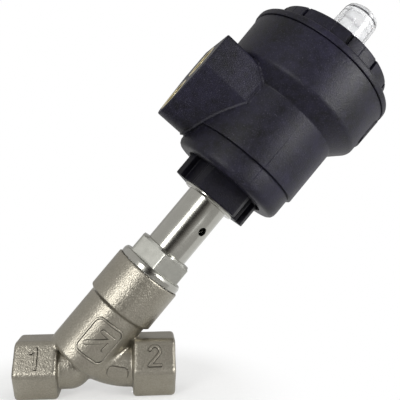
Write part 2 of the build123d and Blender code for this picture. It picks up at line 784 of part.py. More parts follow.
for name, height in (("low_port_insert", port_low_h), ("high_port_insert", port_high_h)):
    with BuildPart() as insert:
        with BuildSketch(port_plane.offset(port_reach - insert_len)):
            with Locations((0, height)):
                Circle(insert_r - 0.02)
        extrude(amount=insert_len + 0.1)
        with BuildSketch(port_plane.offset(port_reach + 0.1)):
            with Locations((0, height)):
                Circle(air_thread_r + insert_rim)
        extrude(amount=-0.8, mode=Mode.SUBTRACT)
        with BuildSketch(port_plane.offset(port_reach + 0.1)):
            with Locations((0, height)):
                Circle(air_thread_r)
        extrude(amount=-insert_len - 0.1, mode=Mode.SUBTRACT)
    insert.part.label = name
    export_step(insert.part, f"parts/{name}.step")

# ---------------------------------------------------------------------------
# Cover with its castellated grip ring, springs under it, clear cap on top
# ---------------------------------------------------------------------------
skirt_r = cover_thread_r - screw_fit
skirt_bore_r = skirt_r - skirt_wall
skirt_foot_h = cover_thread_foot_h + 0.4
roof_foot_h = rim_top_h - cover_roof_t
grip_bore_r = grip_r - grip_wall
cover_ring_h = cover_foot_h - 3.5
with BuildPart() as actuator_cover:
    turned(
        (0, roof_foot_h),
        (skirt_bore_r, roof_foot_h),
        (skirt_bore_r, skirt_foot_h),
        (skirt_r - 0.6, skirt_foot_h),
        (skirt_r, skirt_foot_h + 0.6),
        (skirt_r, cover_foot_h),
        (cover_r, cover_foot_h),
        (cover_r, rim_top_h - cover_rim_round),
        (cover_r - 0.35 * cover_rim_round, rim_top_h - 0.35 * cover_rim_round),
        (cover_r - cover_rim_round, rim_top_h),
        (grip_r, rim_top_h),
        (grip_r - 0.3, grip_top_h - grip_round),
        (grip_r - 0.3 - grip_round, grip_top_h),
        (grip_bore_r, grip_top_h),
        (grip_bore_r, rim_top_h),
        (tower_r + 1.0, rim_top_h),
        (tower_r, cap_seat_h),
        (0, cap_seat_h),
    )
    # slots in the grip ring, mirrored about its widest pad
    for side in (-1, 1):
        for number in range(6):
            facing = slot_turn + side * (slot_first + slot_step * number)
            if number == 5 and side == 1:
                continue
            with BuildSketch(side_plane(facing).offset(grip_r - slot_depth)):
                with Locations((0, (rim_top_h + slot_foot + grip_top_h) / 2)):
                    Rectangle(slot_w, grip_top_h - rim_top_h - slot_foot)
            extrude(amount=2 * slot_depth, mode=Mode.SUBTRACT)
    bored(cap_thread_r + screw_fit, roof_foot_h, cap_seat_h)
    ring(skirt_r - 2.1 * cover_ring_r, skirt_r + 1, cover_ring_h - 1.2 * cover_ring_r,
         cover_ring_h + 1.2 * cover_ring_r, mode=Mode.SUBTRACT)
actuator_cover.part.label = "actuator_cover"
export_step(actuator_cover.part, "parts/actuator_cover.step")

with BuildPart() as cover_o_ring:
    o_ring(cover_thread_r - 0.02 - cover_ring_r, cover_ring_r - 0.02, cover_ring_h)
cover_o_ring.part.label = "cover_o_ring"
export_step(cover_o_ring.part, "parts/cover_o_ring.step")

spring_foot_h = web_top_h + spring_cup_t
with BuildPart() as outer_spring:
    coil(outer_spring_r, outer_wire_r, spring_foot_h, roof_foot_h, outer_turns)
outer_spring.part.label = "outer_spring"
export_step(outer_spring.part, "parts/outer_spring.step")

with BuildPart() as inner_spring:
    coil(inner_spring_r, inner_wire_r, spring_foot_h, roof_foot_h, inner_turns)
inner_spring.part.label = "inner_spring"
export_step(inner_spring.part, "parts/inner_spring.step")

with BuildPart() as clear_cap:
    turned(
        (0, cap_top_h),
        (cap_crown_r - 2.4, cap_top_h),
        (cap_crown_r, cap_top_h - 1.6),
        (cap_crown_r, cap_step_h),
        (cap_step_r, cap_step_h),
        (cap_base_r, cap_seat_h + 2.0 * cap_ring_r + 0.2),
        (cap_base_r + 1.4, cap_seat_h + 2.0 * cap_ring_r),
        (cap_thread_r, cap_seat_h + 2.0 * cap_ring_r),
        (cap_thread_r, cap_foot_h),
        (cap_thread_r - cap_wall, cap_foot_h),
        (cap_step_r - cap_wall, cap_step_h - 1.0),
        (cap_step_r - cap_wall - 1.5, cap_top_h - cap_wall),
        (0, cap_top_h - cap_wall),
    )
clear_cap.part.label = "clear_cap"
export_step(clear_cap.part, "parts/clear_cap.step")

with BuildPart() as cap_o_ring:
    o_ring(cap_thread_r + cap_ring_r + 0.05, cap_ring_r - 0.02, cap_seat_h + cap_ring_r)
cap_o_ring.part.label = "cap_o_ring"
export_step(cap_o_ring.part, "parts/cap_o_ring.step")
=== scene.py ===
# %% [markdown]
# # Angle seat valve
#
# A stainless valve body with a leaning bonnet carries a black piston actuator.  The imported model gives
# every joint and size.  This notebook dresses it: each cell makes one piece or one finish, first in
# words and then in code.  Shapes are worked out in millimetres on numpy grids and stored in metres.

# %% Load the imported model
import json
from math import cos, pi, radians, sin

import bmesh
import bpy
import numpy as np
from mathutils import Matrix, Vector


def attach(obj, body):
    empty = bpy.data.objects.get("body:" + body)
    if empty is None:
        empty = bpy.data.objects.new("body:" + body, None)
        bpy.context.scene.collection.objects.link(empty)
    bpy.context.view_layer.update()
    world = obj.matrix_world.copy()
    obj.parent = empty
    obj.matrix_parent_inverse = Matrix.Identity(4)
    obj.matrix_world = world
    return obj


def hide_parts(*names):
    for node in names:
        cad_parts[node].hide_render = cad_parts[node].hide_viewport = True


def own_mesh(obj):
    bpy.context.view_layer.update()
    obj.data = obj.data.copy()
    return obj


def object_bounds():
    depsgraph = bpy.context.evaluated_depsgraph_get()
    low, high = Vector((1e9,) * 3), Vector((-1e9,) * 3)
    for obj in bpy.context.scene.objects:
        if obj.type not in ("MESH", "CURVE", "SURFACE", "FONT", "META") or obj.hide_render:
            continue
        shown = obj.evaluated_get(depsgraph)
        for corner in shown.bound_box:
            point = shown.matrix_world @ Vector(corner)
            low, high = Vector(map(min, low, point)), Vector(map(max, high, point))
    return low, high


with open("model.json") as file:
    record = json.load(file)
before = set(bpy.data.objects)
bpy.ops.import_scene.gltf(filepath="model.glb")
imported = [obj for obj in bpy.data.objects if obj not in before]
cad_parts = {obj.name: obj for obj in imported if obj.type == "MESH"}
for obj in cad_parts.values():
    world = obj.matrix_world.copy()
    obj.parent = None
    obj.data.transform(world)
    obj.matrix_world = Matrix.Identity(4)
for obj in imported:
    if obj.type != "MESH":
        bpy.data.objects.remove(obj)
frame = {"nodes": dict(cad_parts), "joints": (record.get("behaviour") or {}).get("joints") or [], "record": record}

cad_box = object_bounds()
joints = {joint["name"]: joint for joint in frame["joints"]}

# %% [markdown]
# ## The stem's own axes
#
# Nearly everything is turned about the stem, which leans over the pipe.  In its own axes a piece is
# (across, towards port B, up the stem), so a turned outline needs only a radius and a height.  The turning
# joint of the actuator gives both the foot of the stem and its direction.

# %% Stem axes
stem_foot = np.array(joints["actuator_turn"]["pos_m"]) * 1000
stem_up = np.array(joints["actuator_turn"]["axis"])
stem_side = np.array([0.0, -1.0, 0.0])
stem_back = np.cross(stem_up, stem_side)
stem_axes = np.array([stem_side, stem_back, stem_up])


def on_stem(local):
    """Stem coordinates to the object's: foot + a * side + b * back + c * up."""
    return stem_foot + local @ stem_axes


def to_stem(points):
    """The object's coordinates to the stem's, the same turn backwards."""
    return (points - stem_foot) @ stem_axes.T


def as_is(points):
    """Points that are already in the object's frame."""
    return points


print("stem leans", round(float(np.degrees(np.arccos(stem_up[0]))), 2), "degrees from the pipe")

# %% [markdown]
# ## Grids to meshes
#
# A surface of two parameters is a grid of points.  Its faces are the grid's cells, and where the grid
# closes on itself the last row joins the first.  Points that fall together, at a pole or a square corner,
# are merged, and only then are the normals turned outwards.


# %% Grid and mesh helpers
same_spot, no_length = 2e-6, 1e-7  # metres


def cells(rows, columns, close_rows=True, close_columns=True):
    """Four corner numbers of each cell of a rows x columns grid."""
    number = np.arange(rows * columns).reshape(rows, columns)
    if close_rows:
        number = np.vstack([number, number[:1]])
    if close_columns:
        number = np.hstack([number, number[:, :1]])
    corners = [number[:-1, :-1], number[1:, :-1], number[1:, 1:], number[:-1, 1:]]
    return np.stack(corners, -1).reshape(-1, 4)


def put(name, data):
    """A new object of the scene that shows the given mesh, lamp or camera."""
    thing = bpy.data.objects.new(name, data)
    bpy.context.scene.collection.objects.link(thing)
    return thing


def piece(name, points, faces, finish, body, stands_for=(), place=on_stem, crease=38):
    """A mesh from millimetre points: placed, merged, faced outwards, finished and carried by a body."""
    spots = place(np.asarray(points, float).reshape(-1, 3)) / 1000
    mesh = bpy.data.meshes.new(name)
    mesh.from_pydata(spots.tolist(), [], faces.tolist())
    mesh.validate()
    work = bmesh.new()
    work.from_mesh(mesh)
    bmesh.ops.remove_doubles(work, verts=work.verts, dist=same_spot)
    bmesh.ops.dissolve_degenerate(work, edges=work.edges, dist=no_length)
    bmesh.ops.recalc_face_normals(work, faces=work.faces)
    work.to_mesh(mesh)
    work.free()
    mesh.shade_smooth()
    mesh.set_sharp_from_angle(angle=radians(crease))
    thing = put(name, mesh)
    mesh.materials.append(finishes[finish])
    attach(thing, body)
    if stands_for:
        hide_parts(*stands_for)
    print(name, len(mesh.polygons), "faces")
    return thing


def mark_points(thing, name, values):
    """Store one number at each point of a piece, for its finish to read."""
    marks = thing.data.attributes.new(name, "FLOAT", "POINT").data
    marks.foreach_set("value", np.asarray(values, np.float32))


def stem_spots(thing):
    """The points of a mesh in stem coordinates, in millimetres."""
    spots = np.empty(3 * len(thing.data.vertices), np.float32)
    thing.data.vertices.foreach_get("co", spots)
    return to_stem(spots.reshape(-1, 3) * 1000.0)


# %% [markdown]
# ## Turned outlines
#
# A turned piece is an outline of (radius, height, ease) carried round the stem.  Ease is how far from a
# corner its rounding starts.  Even a sharp machined edge has a tenth of a millimetre, and it is that
# narrow band which catches the light.  Flats, notches and seams are a radius that changes with the angle.


# %% Outlines and turning
def eased(corners, steps=5):
    """Each corner c becomes (1-t)^2 a + 2t(1-t) c + t^2 b, with a and b on its two sides."""
    corners = np.array(corners, float)
    here, ease = corners[:, :2], corners[:, 2:]

    def towards(other):
        run = other - here
        length = np.linalg.norm(run, axis=1, keepdims=True)
        return here + run / length * np.minimum(ease, 0.45 * length)

    first, last = towards(np.roll(here, 1, 0)), towards(np.roll(here, -1, 0))
    t = np.linspace(0, 1, steps)[None, :, None]
    curve = (1 - t) ** 2 * first[:, None] + 2 * t * (1 - t) * here[:, None] + t**2 * last[:, None]
    return curve.reshape(-1, 2)


def even_turn(count):
    """That many equal steps round a circle, in radians."""
    return np.linspace(0, 2 * pi, count, endpoint=False)


def polar(a, radius, height):
    """(r cos a, r sin a, h) from arrays of angle, radius and height, stretched to one shape."""
    a, radius, height = np.broadcast_arrays(a, radius, height)
    return np.stack([radius * np.cos(a), radius * np.sin(a), height], -1)


def turned(name, outline, angles, radius, finish, body, stands_for=(), crease=38):
    """One turned piece: the outline's heights, with a radius for all angles or a row of them for each."""
    points, faces = polar(angles[:, None], radius, outline[:, 1]), cells(len(angles), len(outline))
    return piece(name, points, faces, finish, body, stands_for, crease=crease)


# %% [markdown]
# ## Blended solids
#
# A casting has no grid of its own: pipes, hexagons and barrel run into each other over small fillets.
# It is easier to say how far a point is from the metal.  The union of two distances is the smaller one,
# and near the join a little is taken off, which is the fillet.  A net is then laid where the distance is
# zero: one point in each cell that the surface passes through, and one face round each crossed edge.


# %% Distances and the net over them
def melt(a, b, fillet):
    """Smaller of two distances, less (fillet - |a - b|)^2 / (4 fillet) where they are close."""
    near = np.maximum(fillet - np.abs(a - b), 0)
    return np.minimum(a, b) - near * near / (4 * fillet)


def both(a, b, ease=0.4):
    """Larger of two distances, with its edge eased: the overlap of two solids."""
    return -melt(-a, -b, ease)


def less(a, b, ease=0.4):
    """Solid a with b cut out of it."""
    return -melt(-a, b, ease)


def hexagon(x, y, turns, half, ease):
    """Distance to a hexagon: the largest of |x cos t + y sin t| - half over three turns t, eased."""
    sides = [np.abs(x * cos(radians(t)) + y * sin(radians(t))) - half for t in turns]
    return both(both(sides[0], sides[1], ease), sides[2], ease)


def rod(points, start, end, radius):
    """Distance to a round-ended rod, or to a stroke in the plane: the way to its line less the radius."""
    start, run = np.asarray(start, float), np.subtract(end, start)
    t = np.clip((points - start) @ run / (run @ run), 0, 1)
    return np.linalg.norm(points - start - t[..., None] * run, axis=-1) - radius


def net_over(distance, low, high, step):
    low, step = np.asarray(low, float), step
    ticks = [np.arange(a, b + step, step) for a, b in zip(low, high)]
    inside = distance(np.stack(np.meshgrid(*ticks, indexing="ij"), -1)) < 0
    count = sum(
        inside[i : i - 1 or None, j : j - 1 or None, k : k - 1 or None].astype(np.int8)
        for i in (0, 1)
        for j in (0, 1)
        for k in (0, 1)
    )
    crossed = (count > 0) & (count < 8)
    number = np.full(crossed.shape, -1)
    number[crossed] = np.arange(crossed.sum())
    middle = low + (np.argwhere(crossed) + 0.5) * step
    points = middle.copy()
    nudge = 0.02
    for _ in range(5):
        sides = [distance(points + n) - distance(points - n) for n in nudge * np.eye(3)]
        slope = np.stack(sides, -1) / (2 * nudge)
        steepness = np.maximum((slope * slope).sum(-1), 0.2)
        points = points - slope * (distance(points) / steepness)[:, None]
        points = np.clip(points, middle - 0.75 * step, middle + 0.75 * step)
    faces = []
    for order in ((0, 1, 2), (1, 2, 0), (2, 0, 1)):
        solid, numbers = inside.transpose(order), number.transpose(order)
        i, j, k = np.nonzero(solid[:-1, 1:-1, 1:-1] != solid[1:, 1:-1, 1:-1])
        ring = ((j, k), (j + 1, k), (j + 1, k + 1), (j, k + 1))
        quad = np.stack([numbers[i, b, c] for b, c in ring], -1)
        faces.append(np.where(solid[i, j + 1, k + 1][:, None], quad, quad[:, ::-1]))
    return points, np.concatenate(faces)


# %% [markdown]
# ## Finishes: colour and nodes
#
# Colours are written as the hex values that a colour chart gives and turned to linear light by one
# function.  Materials are graphs of nodes, so a second helper adds a node with its settings and links.
# Patterns read Object coordinates, which are metres here, so per_mm turns a real size into a scale.


# %% Colour and node helpers
def ink(code):
    """sRGB hex to linear: (c + 0.055)^2.4 / 1.055^2.4 above 0.04045, c / 12.92 below."""
    c = np.array([int(code[i : i + 2], 16) for i in (1, 3, 5)]) / 255
    return (*np.where(c > 0.04045, ((c + 0.055) / 1.055) ** 2.4, c / 12.92), 1.0)


def per_mm(size):
    """Noise or wave scale whose features are that many millimetres apart."""
    return 1000 / size


def add(graph, kind, settings=None, **inputs):
    """Add a node, set its properties, then feed its inputs with values or with other nodes' outputs."""
    node = graph.nodes.new("ShaderNode" + kind)
    for name, value in (settings or {}).items():
        setattr(node, name, value)
    for name, value in inputs.items():
        socket = node.inputs[int(name[1:]) if name[1:].isdigit() else name.replace("_", " ")]
        if isinstance(value, bpy.types.NodeSocket):
            graph.links.new(value, socket)
        else:
            socket.default_value = value
    return node


def noise(graph, place, size, detail=2.0, rough=0.5):
    """A noise whose features are that many millimetres apart."""
    scale = per_mm(size)
    return add(graph, "TexNoise", Vector=place, Scale=scale, Detail=detail, Roughness=rough).outputs["Fac"]


def bare_graph(owner):
    """The node graph of a material or world, switched on and emptied."""
    owner.use_nodes = True
    owner.node_tree.nodes.clear()
    return owner.node_tree


finishes = {}


def begin(slot, **surface):
    """A new material under its slot name, with one Principled surface: its graph, shader and coordinates."""
    material = bpy.data.materials.new(slot)
    graph = bare_graph(material)
    shader = add(graph, "BsdfPrincipled", **surface)
    add(graph, "OutputMaterial", Surface=shader.outputs[0])
    finishes[slot] = material
    return graph, shader, add(graph, "TexCoord").outputs["Object"]


def blend(graph, amount, low, high):
    """A colour or value that runs from low to high as amount goes from 0 to 1."""
    colour = isinstance(low, tuple) or isinstance(high, tuple)
    ends = {"i6": low, "i7": high} if colour else {"i2": low, "i3": high}
    mixed = add(graph, "Mix", {"data_type": "RGBA" if colour else "FLOAT"}, i0=amount, **ends)
    return mixed.outputs[2 if colour else 0]


def dress(graph, shader, colour, roughness, *bumps):
    """Feed a shader its colour and roughness, and one bump over another: (height, strength, metres)."""
    under = {}
    for height, strength, deep in bumps:
        bump = add(graph, "Bump", Height=height, Strength=strength, Distance=deep, **under)
        under = {"Normal": bump.outputs[0]}
    for name, source in {"Base Color": colour, "Roughness": roughness, **under}.items():
        graph.links.new(source, shader.inputs[name])


# %% [markdown]
# ## Cast stainless steel
#
# The body is investment cast in stainless steel, tumbled and bead blasted.  Blasting leaves a satin skin of
# tiny dents, which spreads each highlight into a soft band and takes the mirror out of it.  The metal is a
# warm grey.  Two sizes of dent matter: a leathery grain of 0.6 mm, and a slow unevenness of a few millimetres
# from the wax.  The foot of each raised mark is painted dark, as painted shade where its wall meets the
# casting: marks carry this shade as a point attribute, and where a mesh has none it reads as zero.

# %% Cast stainless
graph, shader, place = begin("cast_stainless", Metallic=1.0)
grit, swell = noise(graph, place, 0.6, 1.5, 0.55), noise(graph, place, 4.5)
pits = add(graph, "TexVoronoi", Vector=place, Scale=per_mm(1.3)).outputs["Distance"]
tone = blend(graph, swell, ink("#a19c90"), ink("#b3aea2"))
grey = blend(graph, grit, ink("#827e73"), tone)
# painted shade: the casting turns dark grey where a raised mark's foot carries this point attribute
painted_shade = add(graph, "Attribute", {"attribute_name": "painted_shade"}).outputs["Fac"]
colour, roughness = blend(graph, painted_shade, grey, ink("#2c2a26")), blend(graph, grit, 0.3, 0.44)
bumps = (grit, 0.55, 0.0003), (pits, 0.25, 0.00012), (swell, 0.35, 0.0003)
dress(graph, shader, colour, roughness, *bumps)
print("cast_stainless has bumps at 0.6, 1.3 and 4.5 mm")

# %% [markdown]
# ## Machined and polished stainless
#
# The bonnet and the inner metal are turned: the tool leaves rings a third of a millimetre apart round the
# stem, and a grey without the casting's warmth.  The tube and the spindle are ground and polished after that,
# so their lines are finer and faint and the surface is nearly a mirror.  The rings are a wave along the stem,
# which a Mapping node sets upright, and the wave's scale counts radians.

# %% Machined and polished stainless
lean = float(np.arctan2(stem_up[0], stem_up[2]))
for slot, low, high, rough, ring_mm, deep, strength in (
    ("machined_stainless", "#a3a39c", "#b5b5ae", (0.28, 0.4), 0.35, 0.00002, 0.4),
    ("polished_stainless", "#a4a39c", "#b0afa8", (0.16, 0.22), 0.25, 0.000001, 0.1),
):
    graph, shader, place = begin(slot, Metallic=1.0)
    upright = add(graph, "Mapping", Vector=place, Rotation=(0.0, -lean, 0.0)).outputs[0]
    rings = add(
        graph, "TexWave", {"bands_direction": "Z"}, Vector=upright, Scale=per_mm(ring_mm) / 6.283,
        Distortion=1.5, Detail=2.0, Detail_Scale=1.5,
    ).outputs["Fac"]
    haze = noise(graph, place, 3.0, 3.0)
    colour = blend(graph, haze, ink(low), ink(high))
    dress(graph, shader, colour, blend(graph, haze, *rough), (rings, strength, deep))
    print(slot, "has rings", ring_mm, "mm apart")

# %% [markdown]
# ## Glass-filled polyamide
#
# Housing, cover and base nut are moulded in black polyamide with glass fibre.  The fibres lie just under the
# skin: the black is really a very dark violet grey, cloudy over centimetres and blotched over millimetres,
# with a fine salt of paler specks.  The eroded mould leaves a grain of about 0.6 mm, so it shines softly.
# The base nut is painted darker and duller all over, as painted shade under the actuator, and the foot of the
# blank pad is painted dark as painted shade; both come through one point attribute.

# %% Moulded plastics
for slot, low, high, speck, rough in (
    ("black_nylon", "#07070a", "#191727", "#2f2e37", (0.38, 0.52)),
    ("piston_plastic", "#36363a", "#434348", "#5c5c60", (0.45, 0.6)),
):
    graph, shader, place = begin(slot, IOR=1.53)
    cloud, blotch = noise(graph, place, 22.0, 4.0, 0.6), noise(graph, place, 3.0, 3.0, 0.6)
    grain, fibre = noise(graph, place, 0.6, 2.0, 0.6), noise(graph, place, 0.45, 1.0)
    salt = add(graph, "MapRange", Value=fibre, From_Min=0.6, From_Max=0.78).outputs[0]
    cloudy = blend(graph, 0.4, cloud, blotch)
    mottle = add(graph, "MapRange", Value=cloudy, From_Min=0.35, From_Max=0.65).outputs[0]
    base = blend(graph, salt, blend(graph, mottle, ink(low), ink(high)), ink(speck))
    # painted shade: a point attribute turns the colour towards near black and halves the specular level
    painted_shade = add(graph, "Attribute", {"attribute_name": "painted_shade"}).outputs["Fac"]
    colour = blend(graph, painted_shade, base, ink("#040405"))
    graph.links.new(blend(graph, painted_shade, 0.2, 0.1), shader.inputs["Specular IOR Level"])
    dress(graph, shader, colour, blend(graph, blotch, *rough), (grain, 0.5, 0.0002))
    print(slot, "has blotches of 3 mm and a grain of 0.6 mm")

# %% [markdown]
# ## Small finishes
#
# Spring wire is drawn and dark.  The air inserts are turned brass, paler than a door knob because the plain
# alloy isn't lacquered.  PTFE is waxy and slightly see-through.  Seal rubber is matt with a bloom.  The
# indicator is a glossy red moulding.  All five are one mottle in different sizes, so one loop makes them.
# The cap is clear polycarbonate, whose faint smoke and flow marks show against a white wall.  The dark
# line in the step under its crown is painted shade, carried as a point attribute.

# %% Spring steel, brass, PTFE, rubber and red
for slot, low, high, rough, size, detail, dents, extra in (
    ("spring_steel", "#63656a", "#82848a", (0.28, 0.45), 1.2, 4.0, (0.2, 0.00005), {"Metallic": 1.0}),
    ("brass", "#c4b88f", "#d6ccab", (0.3, 0.4), 2.5, 3.0, (0.2, 0.00004), {"Metallic": 1.0}),
    ("ptfe", "#dcd9d0", "#e8e6df", (0.35, 0.5), 2.0, 4.0, (0.15, 0.00005),
     {"Subsurface_Weight": 0.15, "IOR": 1.35}),
    ("rubber", "#17171a", "#232327", (0.55, 0.75), 0.8, 4.0, (0.15, 0.00005), {"IOR": 1.52}),
    ("indicator_red", "#a8170f", "#bf2417", (0.18, 0.28), 3.0, 4.0, (0.15, 0.00005),
     {"IOR": 1.5, "Coat_Weight": 0.3}),
):
    graph, shader, place = begin(slot, **extra)
    mottle = noise(graph, place, size, detail)
    colour = blend(graph, mottle, ink(low), ink(high))
    dress(graph, shader, colour, blend(graph, mottle, *rough), (mottle, *dents))
    print(slot, "is mottled over", size, "mm")

# %% Clear polycarbonate
graph, shader, place = begin("clear_plastic", IOR=1.585, Transmission_Weight=0.84)
flow = noise(graph, place, 6.0, 3.0)
# painted shade: a dark grey line in the step under the crown, read from a point attribute
painted_step_shade = add(graph, "Attribute", {"attribute_name": "painted_step_shade"}).outputs["Fac"]
clear = blend(graph, flow, ink("#eeeff1"), ink("#fdfdfd"))
colour, roughness = blend(graph, painted_step_shade, clear, ink("#2e2f33")), blend(graph, flow, 0.12, 0.24)
dress(graph, shader, colour, roughness, (flow, 0.2, 0.0002))
print("clear_plastic has flow marks of 6 mm")

# %% [markdown]
# ## Inner pieces
#
# Packing, seals, springs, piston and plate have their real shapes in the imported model.  They keep their
# meshes and get the finish of their slot.

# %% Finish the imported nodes
for entry in frame["record"]["subparts"]:
    node = frame["nodes"][entry["node"]]
    if not node.material_slots:
        node.data.materials.append(finishes[entry["material_slot"]])
    for holder in node.material_slots:
        holder.material = finishes[entry["material_slot"]]

# %% [markdown]
# ## Springs
#
# Two compression springs press the piston down.  Each is a round wire on a helix whose first and last turns
# lie close, as wound, and the open turns between share the rest of the height.  As the stem rises the
# springs grow shorter; here each wound spring is only given a mesh of its own.


# %% Springs
def wound_spring(node, radius, wire, turns):
    """Wire centre (R cos a, R sin a, h(a)), and round it a circle that falls to nothing at both ends."""
    heights = stem_spots(frame["nodes"][node])[:, 2]
    foot, top = heights.min(), heights.max()
    turn = np.linspace(0, turns, 64 * turns + 1)
    turn = np.concatenate([turn[:1], turn, turn[-1:]])
    free = top - foot - 2 * wire
    rise = np.interp(turn, (0, 1, turns - 1, turns), (0, 2.1 * wire, free - 2.1 * wire, free))
    thick = np.full(len(turn), wire)
    thick[[0, -1]] = 0.0
    a, b = 2 * pi * turn[:, None], even_turn(12)[None]
    height = foot + wire + rise[:, None] + thick[:, None] * np.sin(b)
    points = polar(a, radius + thick[:, None] * np.cos(b), height)
    faces = cells(len(turn), 12, close_rows=False)
    spring = piece(node + "_wound", points, faces, "spring_steel", "actuator", (node,))
    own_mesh(spring)


wound_spring("outer_spring", 19.5, 1.6, 5)
wound_spring("inner_spring", 12.5, 1.2, 7)

# %% [markdown]
# ## Valve body
#
# One casting: two hexagons on the pipe, a waist from each, and the leaning barrel with its thicker collar.
# The waist of port B climbs on an arc.  Each is a distance, melted together with fillets of a millimetre or
# two, and the passages, seat and threads are cut out of the sum.

# %% Valve body
length, hex_long, half_flats, corner_ease, mouth_ease = 68.0, 18.3, 12.5, 1.7, 1.9
waist, bend, climb = 9.8, 33.0, 36
crossing = (22.5, 0, 0)  # where the stem's line meets the pipe's
barrel_r, collar_r, barrel_foot, barrel_top = 14.4, 16.05, 4.6, 52.8
passage_r, seat_r, chamber_r, bonnet_r = 6.8, 6.5, 11, 13
bore_r, bore_deep, lead_in = 10.5, 14.2, 11.2
hexagon_fillet = 0.9


def hexagon_rod(points, start, end):
    """Hexagonal bar along the pipe, cut off at its two ends."""
    across = hexagon(points[..., 1], points[..., 2], (90, 30, -30), half_flats, corner_ease)
    ends = np.maximum(start - points[..., 0], points[..., 0] - end)
    return both(across, ends, mouth_ease)


def climbing_rod(points, degrees, radius):
    """Round rod on the arc that rises from port B's hexagon: nearest angle first, then the distance."""
    x, z = points[..., 0] - (length - hex_long), points[..., 2] - bend
    a = np.clip(np.arctan2(-x, -z), 0, radians(degrees))
    gap = np.stack([x + bend * np.sin(a), points[..., 1], z + bend * np.cos(a)], -1)
    return np.linalg.norm(gap, axis=-1) - radius


def casting(points):
    """Distance to the body's metal: the forms melted together, less the bores, passages, seat and chamber."""
    local = to_stem(points)
    r, h = np.hypot(local[..., 0], local[..., 1]), local[..., 2]
    wall = r - np.interp(h, (32.6, 33.9), (barrel_r, collar_r))
    barrel = both(both(wall, barrel_foot - h, 2.2), h - barrel_top, 0.5)
    bulk = melt(barrel, rod(points, (9, 0, 0), crossing, waist), 1.3)
    bulk = melt(bulk, climbing_rod(points, climb, waist), 1.6)
    for start, end in ((0, hex_long), (length - hex_long, length)):
        bulk = melt(bulk, hexagon_rod(points, start, end), hexagon_fillet)
    x = points[..., 0]
    off_pipe = np.hypot(points[..., 1], points[..., 2])
    for from_mouth in (x, length - x):
        bore = off_pipe - np.maximum(bore_r, lead_in - from_mouth)
        bulk = less(bulk, np.maximum(bore, from_mouth - bore_deep), 0.3)
    bulk = less(bulk, rod(points, (8, 0, 0), crossing, passage_r))
    outlet = rod(points, (length - 8, 0, 0), (length - hex_long, 0, 0), passage_r)
    bulk = less(bulk, np.minimum(outlet, climbing_rod(points, 22, passage_r)))
    bulk = less(bulk, np.maximum(r - seat_r, np.maximum(-h, h - 12)))
    chamber = np.maximum(r - chamber_r, np.where(r < 7.8, 10.0, 9.0) - h)
    return less(bulk, np.minimum(chamber, np.maximum(r - bonnet_r, 38 - h)))


points, faces = net_over(casting, (-1, -17.2, -13.6), (69, 17.2, 52), 0.52)
piece("body_casting", points, faces, "cast_stainless", "valve", ("valve_body",), as_is, 60)

# %% [markdown]
# ## Threads
#
# An inside thread is a bore whose radius waves from crest to root once every pitch along the axis, and one
# pitch further on for each turn round it.  Because a whole turn moves the wave by a whole pitch, the grid
# still closes.  The ring's outer wall makes it a closed solid.


# %% Threaded rings
def threaded_ring(name, origin, axis, inner, outer, pitch, depth, reach, finish, body, stands_for=()):
    """r = inner + depth * wave(s / pitch - angle / 2pi), along s from 0 to reach behind the mouth."""
    axis = np.asarray(axis, float)
    side = np.cross(axis, (0.31, 0.17, 0.93))
    side /= np.linalg.norm(side)
    across = np.cross(axis, side)
    around = 144
    a = even_turn(around)[:, None]
    s = np.linspace(0, reach, int(reach / pitch * 10))[None]
    phase = (s / pitch - a / (2 * pi)) % 1
    root = np.clip(1.6 * (1 - np.abs(2 * phase - 1)) - 0.2, 0, 1)
    runout = np.clip((reach - s) / pitch, 0, 1) * np.clip(s / 0.3, 0, 1)
    lead = np.maximum(0, (1.1 if depth > 1 else 0.75) - s)
    r = np.maximum(inner + depth * root * runout, inner + lead)
    outer_r = np.tile([outer - 0.15, outer, outer, outer - 0.15], (around, 1))
    outer_s = np.tile([reach, reach, 0.1, 0.0], (around, 1))
    radius, back = np.hstack([r, outer_r]), np.hstack([s + 0 * a, outer_s])
    ring = np.cos(a)[..., None] * side + np.sin(a)[..., None] * across
    spots = np.asarray(origin) + radius[..., None] * ring - back[..., None] * axis
    return piece(name, spots, cells(around, radius.shape[1]), finish, body, stands_for, as_is, 50)


pipe_thread = 9.3, 10.55, 1.814, 1.05, 13.8, "machined_stainless", "valve"
threaded_ring("thread_a", (0.15, 0, 0), (-1, 0, 0), *pipe_thread)
threaded_ring("thread_b", (length - 0.15, 0, 0), (1, 0, 0), *pipe_thread)

# %% [markdown]
# ## Raised marks
#
# Cast marks stand half a millimetre proud or a little more, with soft shoulders.  A mark is a distance drawn
# in the plane: a stroke is the distance to its line less half its width.  The relief falls from full height
# inside to just under the casting outside, so only the mark shows.  The ports are numbered 1 and 2, the
# barrel has a flow arrow in a plain frame, and the neck a bare tablet.


# %% Relief helpers
def strokes(u, v, route, width):
    """Distance to a bent line less half its width."""
    spots = np.stack([u, v], -1)
    return np.min([rod(spots, *ends, width / 2) for ends in zip(route[:-1], route[1:])], axis=0)


def rounded_box(u, v, wide, tall, corner):
    """Distance to a rectangle with round corners."""
    x, y = np.abs(u) - wide / 2 + corner, np.abs(v) - tall / 2 + corner
    return np.hypot(np.maximum(x, 0), np.maximum(y, 0)) + np.minimum(np.maximum(x, y), 0) - corner


mark_step, shoulder, sunk, mark_back = 0.13, 0.5, 0.12, 0.5


